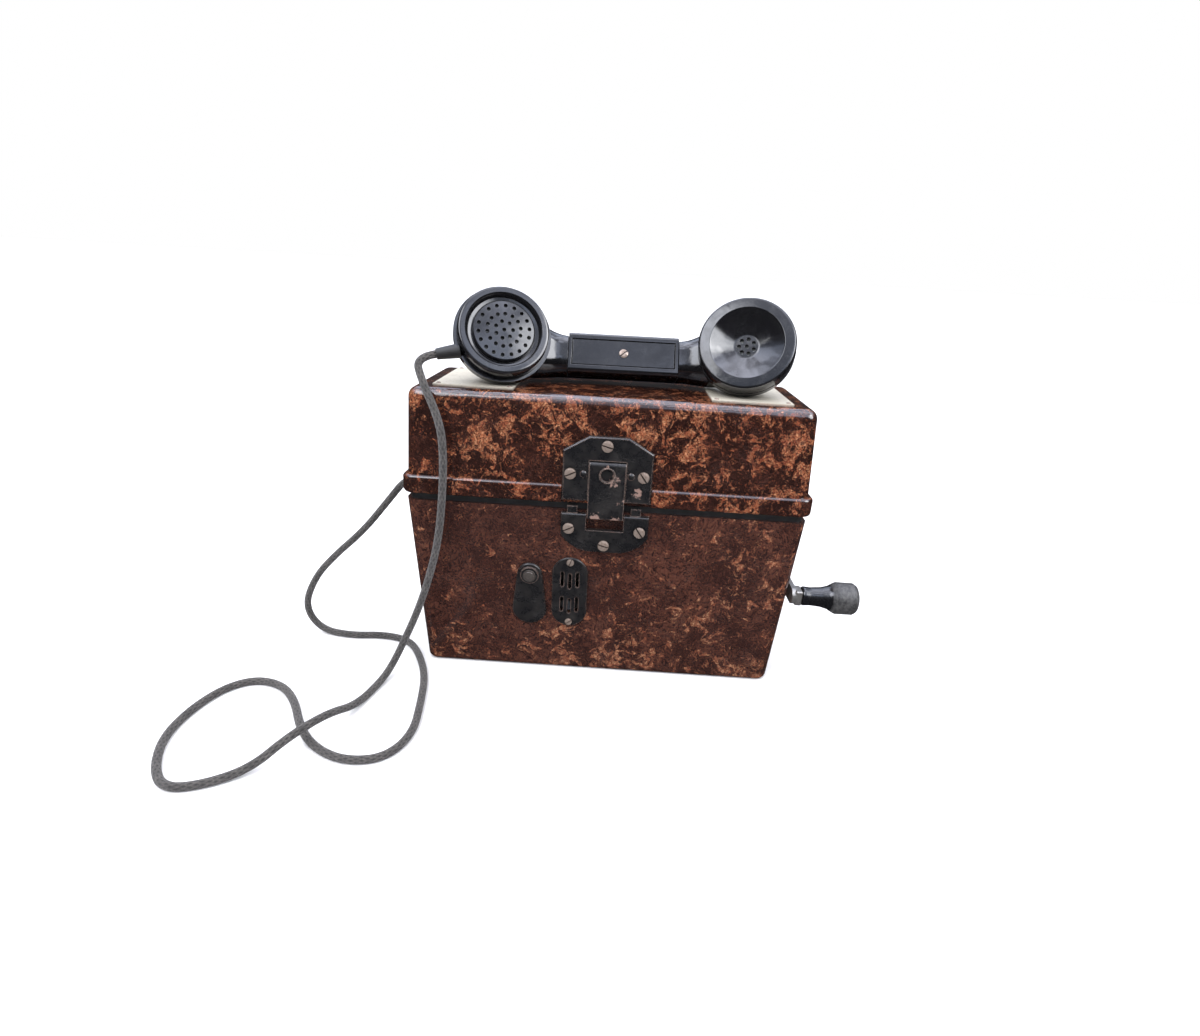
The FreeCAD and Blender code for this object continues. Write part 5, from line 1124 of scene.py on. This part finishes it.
class InnerWorks:
    """The pieces inside, which keep their CAD shape and get their finishes."""

    def build(self, done: set[str]) -> None:
        """Dresses every node that no piece stands for.

        Args:
            done: names of the nodes that are replaced.
        """
        for node, piece in frame["nodes"].items():
            if node not in done:
                piece.data.materials.clear()
                piece.data.materials.append(material(slot_of(node)))


CORD_DIAMETER = 5.2 * MM
FLOOR_ROUTE = [
    (-139, -12, 134.5), (-148.5, -12, 134.5), (-163, -14, 116), (-184, -14, 90), (-210, -15, 66),
    (-226, -16, 47), (-237, -16, 21), (-224.5, -19, 2.6), (-198, -25, 2.6), (-172, -21, 2.6),
    (-149, -27, 2.6), (-134.5, -48, 2.6), (-124, -72, 2.6), (-118.5, -100, 2.6), (-114, -132, 2.6),
    (-124, -154, 2.6), (-146, -159, 2.6), (-168, -151, 2.6), (-186, -134, 2.6), (-202, -108, 2.6),
    (-219, -92, 2.6), (-240, -88, 2.6), (-256, -100, 2.6), (-264, -124, 2.6), (-264, -150, 2.6),
    (-252, -175, 2.6), (-237, -189, 2.6), (-217, -184, 2.6), (-197, -171, 4), (-182, -155, 14),
    (-168, -132, 14.5), (-160, -108, 2.6), (-156.5, -94, 2.6),
]
RISING_ROUTE = [
    (-156.5, -94, 2.6), (-153, -80, 2.6), (-149, -66, 8), (-141, -60, 26), (-131, -58.5, 49),
    (-121.5, -58.5, 76), (-113.5, -58.5, 106), (-109.5, -58.5, 138), (-107.5, -58.5, 168),
    (-109.3, -58, 190), (-116.3, -52.8, 202.2),
]
LID_ROUTE = [
    (-116.3, -52.8, 202.2), (-122.46, -48.22, 212.94), (-128.96, -38.15, 226.09), (-116.5, -34, 228.2),
]
TAIL_ROUTE = [
    (-122, -12, 134.5), (-114, -12, 134.5), (-104, -12, 129), (-103, -12, 119), (-103, -12, 108),
]


def curve_line(route: Sequence[Point]) -> list[Vector]:
    """Points along the smooth spline of a route in millimetres, in metres."""
    data = bpy.data.curves.new("route", "CURVE")
    data.dimensions = "3D"
    data.resolution_u = 24
    spline = data.splines.new("NURBS")
    spline.points.add(len(route) - 1)
    for spot, place in zip(spline.points, route):
        spot.co = (*(c * MM for c in place), 1.0)
    spline.order_u = 3
    spline.use_endpoint_u = True
    carrier = link("route", data)
    graph = bpy.context.evaluated_depsgraph_get()
    mesh = bpy.data.meshes.new_from_object(carrier.evaluated_get(graph))
    line = [v.co.copy() for v in mesh.vertices]
    bpy.data.objects.remove(carrier)
    bpy.data.curves.remove(data)
    bpy.data.meshes.remove(mesh)
    return line


SHORTEST_SPAN = 1e-12


def evenly(line: Sequence[Vector], spacing: float) -> list[Vector]:
    """The same line with its points at an even spacing, both ends kept."""
    lengths = [0.0]
    for a, b in zip(line, line[1:]):
        lengths.append(lengths[-1] + (b - a).length)
    count = max(2, round(lengths[-1] / spacing))
    out, i = [], 0
    for k in range(count + 1):
        want = lengths[-1] * k / count
        while i < len(lengths) - 2 and lengths[i + 1] < want:
            i += 1
        span = lengths[i + 1] - lengths[i]
        out.append(line[i].lerp(line[i + 1], 0.0 if span < SHORTEST_SPAN else (want - lengths[i]) / span))
    return out


@dataclass
class CordRun:
    """One stretch of the braided cord: a tube with raised yarns along the spline of its route."""

    name: str
    node: str
    route: Sequence[Point]
    first_body: Body
    second_body: Body | None = None
    bend_start: Point = (0.0, 0.0, 0.0)
    bend_end: Point = (0.0, 0.0, 0.0)
    sides: int = 24
    spacing: float = 0.7 * MM
    relief: float = 0.10 * MM

    def build(self, travelled: float) -> float:
        """Args:
            travelled: length of the cord before this stretch, so that the braid runs on.

        Returns:
            The length of the cord up to this stretch's end.
        """
        line = curve_line(self.route)
        centres = evenly(line, self.spacing)
        length = sum((b - a).length for a, b in zip(centres, centres[1:]))
        mesh = self.tube(centres, travelled)
        piece = link(self.name, mesh)
        dress(piece, Slot.BRAID)
        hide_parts(self.node)
        if self.second_body is None:
            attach(piece, self.first_body.value)
        else:
            start, end = ([c * MM for c in p] for p in (self.bend_start, self.bend_end))
            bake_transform(piece, self.first_body.value, self.second_body.value, start, end)
        LOG.info("%s: %.3f m", self.name, length)
        return travelled + length

    def tube(self, centres: Sequence[Vector], travelled: float) -> bpy.types.Mesh:
        """The tube's mesh with its braid relief and its UV map of turns and metres."""
        shape = bmesh.new()
        uv = shape.loops.layers.uv.new("turns")
        up = Vector((0.0, 0.0, 1.0))
        along = (centres[1] - centres[0]).normalized()
        side = along.cross(up)
        side = side.normalized() if side.length > 1e-3 else Vector((1.0, 0.0, 0.0))
        rings, marks, run = [], [], travelled
        for i, centre in enumerate(centres):
            ahead = centres[min(i + 1, len(centres) - 1)] - centres[max(i - 1, 0)]
            ahead.normalize()
            side = (side - ahead * side.dot(ahead)).normalized()
            across = ahead.cross(side)
            if i:
                run += (centre - centres[i - 1]).length
            ring = []
            for k in range(self.sides):
                turn = k / self.sides
                radius = CORD_DIAMETER / 2 - self.relief + self.relief * self.yarn(turn, run)
                angle = math.tau * turn
                ring.append(centre + (side * math.cos(angle) + across * math.sin(angle)) * radius)
            rings.append(ring)
            marks.append(run)
        for index, face in enumerate(loft(shape, rings)[:-2]):
            i, k = divmod(index, self.sides)
            face.smooth = True
            for loop, (a, b) in zip(face.loops, ((k, i), (k + 1, i), (k + 1, i + 1), (k, i + 1))):
                loop[uv].uv = (a / self.sides, marks[b])
        return closed_mesh(shape, self.name)

    def yarn(self, turn: float, run: float) -> float:
        """Height of the braid at a turn and a length, from nought to one."""
        right = abs(math.sin(math.pi * (turn * BRAID_CARRIERS + run / BRAID_PITCH)))
        left = abs(math.sin(math.pi * (turn * BRAID_CARRIERS - run / BRAID_PITCH)))
        return max(right, left)


class Cord:
    """The whole cord, from inside the case over the ground and up to the handset."""

    def build(self) -> set[str]:
        """Builds every stretch and returns the nodes that they stand for."""
        rise_bend = (-150, -60, 20)
        lid_edge = RISING_ROUTE[-1]
        runs = [
            CordRun("cord_in_case", "cord_tail", list(reversed(TAIL_ROUTE)), Body.CASE),
            CordRun("cord_on_ground", "cord_floor_run", FLOOR_ROUTE, Body.CASE),
            CordRun("cord_up_front", "cord_rising_run", RISING_ROUTE, Body.CASE, Body.LID,
                    bend_start=rise_bend, bend_end=lid_edge),
            CordRun("cord_over_lid", "cord_lid_run", LID_ROUTE, Body.LID, Body.HANDSET,
                    bend_start=lid_edge, bend_end=LID_ROUTE[-1]),
        ]
        travelled = 0.0
        for run in runs:
            travelled = run.build(travelled)
        LOG.info("whole cord: %.3f m", travelled)
        return {run.node for run in runs}


@dataclass(frozen=True)
class SoftBox:
    """A square area light that looks at the object."""

    name: str
    place: Point
    size: float
    power: float
    aim: Point = (0.0, 0.0, 0.12)

    def build(self) -> None:
        """Builds and turns the light."""
        data = bpy.data.lights.new(self.name, "AREA")
        data.size = self.size
        data.energy = self.power
        box = link(self.name, data)
        box.location = self.place
        ahead = Vector(self.aim) - Vector(self.place)
        box.rotation_euler = ahead.to_track_quat("-Z", "Y").to_euler()


@dataclass
class Studio:
    """The camera at the photograph's viewpoint, the pale floor and the soft light."""

    place: Point = (0.003867, -0.45231, 0.28766)
    yaw: float = -0.018045
    pitch: float = 0.380164
    roll: float = -0.056561
    focal_pixels: float = 631.9
    image_width: float = 1200.0
    sensor: float = 36.0
    floor_size: float = 60.0
    boxes: tuple[SoftBox, ...] = (
        SoftBox("key_box", (-0.9, -1.1, 1.7), size=1.1, power=18.0),
        SoftBox("fill_box", (1.3, -0.4, 1.5), size=0.8, power=8.0),
    )
    window_towards: Point = (0.671, -0.470, 0.574)
    window: Colour = (10.0, 10.2, 10.8)
    window_rim: tuple[float, float] = (0.93, 0.975)
    cloud_scale: float = 3.2
    cloud_dim: float = 0.30
    sky: tuple[tuple[float, Colour], ...] = (
        (0.0, (0.05, 0.048, 0.045)), (0.47, (0.07, 0.068, 0.066)), (0.55, (0.10, 0.10, 0.11)),
        (0.66, (0.42, 0.43, 0.48)), (0.78, (1.5, 1.52, 1.68)), (0.9, (2.3, 2.32, 2.5)),
        (1.0, (2.5, 2.5, 2.65)),
    )
    mirrored: tuple[tuple[float, Colour], ...] = (
        (0.0, (0.03, 0.03, 0.032)), (0.5, (0.05, 0.05, 0.052)), (0.68, (0.12, 0.12, 0.13)),
        (0.75, (0.5, 0.53, 0.62)), (0.80, (1.9, 2.2, 2.9)), (0.92, (3.9, 4.2, 5.2)), (1.0, (5.4, 5.6, 6.6)),
    )

    def build(self) -> None:
        """Builds the whole stage."""
        self.camera()
        self.floor()
        self.light()
        bpy.context.scene.view_settings.view_transform = "Standard"

    def camera(self) -> None:
        """The camera, turned by its yaw, pitch and roll."""
        cy, sy = math.cos(self.yaw), math.sin(self.yaw)
        cp, sp = math.cos(self.pitch), math.sin(self.pitch)
        ahead = Vector((sy * cp, cy * cp, -sp))
        level = Vector((cy, -sy, 0.0))
        down = ahead.cross(level)
        right = level * math.cos(self.roll) + down * math.sin(self.roll)
        under = down * math.cos(self.roll) - level * math.sin(self.roll)
        data = bpy.data.cameras.new("camera")
        data.sensor_width = self.sensor
        data.lens = self.sensor * self.focal_pixels / self.image_width
        data.clip_start = 0.01
        data.clip_end = 200.0
        camera = link("camera", data)
        turned = Matrix((right, -under, -ahead)).transposed().to_4x4()
        camera.matrix_world = Matrix.Translation(Vector(self.place)) @ turned
        bpy.context.scene.camera = camera

    def floor(self) -> None:
        """A wide pale floor."""
        half = self.floor_size / 2
        mesh = bpy.data.meshes.new("floor")
        corners = [(-half, -half, 0), (half, -half, 0), (half, half, 0), (-half, half, 0)]
        mesh.from_pydata(corners, [], [(0, 1, 2, 3)])
        floor = link("floor", mesh)
        s = Surface("pale_floor")
        s.set(Base_Color=(0.93, 0.93, 0.925), Roughness=0.8)
        s.shader.inputs["Specular IOR Level"].default_value = 0.1
        mesh.materials.append(s.material)
        floor.visible_glossy = False

    def light(self) -> None:
        """The sky that lights, the one that polished pieces mirror, white for the camera, and the boxes."""
        world = bpy.data.worlds.new("sky")
        bpy.context.scene.world = world
        world.use_nodes = True
        tree = world.node_tree
        tree.nodes.clear()
        g = Graph(tree)
        towards = g.node("ShaderNodeTexCoord").outputs["Generated"]
        rise = g.times(g.plus(g.axes(towards)["Z"], 1.0), 0.5)
        pane = g.step(g.vector("DOT_PRODUCT", towards, self.window_towards), *self.window_rim)
        clouds = g.step(g.cloud(towards, self.cloud_scale, 3.0, 0.5, 0.4), 0.40, 0.60)
        broken = g.vector("SCALE", g.ramp(rise, self.mirrored), scale=g.blend(clouds, self.cloud_dim, 1.0))
        mirror = g.mix(pane, broken, self.window)
        kind = g.node("ShaderNodeLightPath").outputs
        shown = None
        for colour, when in ((g.ramp(rise, self.sky), None), (mirror, kind["Is Glossy Ray"]),
                             ((1.0, 1.0, 1.0), kind["Is Camera Ray"])):
            layer = g.node("ShaderNodeBackground")
            g.feed(layer.inputs["Color"], rgba(colour))
            if when is None:
                shown = layer.outputs[0]
                continue
            chosen = g.node("ShaderNodeMixShader")
            g.feed(chosen.inputs[0], when)
            g.feed(chosen.inputs[1], shown)
            g.feed(chosen.inputs[2], layer.outputs[0])
            shown = chosen.outputs[0]
        g.feed(g.node("ShaderNodeOutputWorld").inputs["Surface"], shown)
        for box in self.boxes:
            box.build()


def main() -> None:
    """Builds every class in order."""
    logging.basicConfig(level=logging.INFO, format="%(message)s")
    Studio().build()
    done = Cord().build()
    for part in (Case(), Lid(), Hasp(), SwivelCover(), Crank(), Grip(), Handset(), TalkKey()):
        done |= part.build()
    InnerWorks().build(done)
    bpy.context.view_layer.update()


if __name__ == "__main__":
    main()
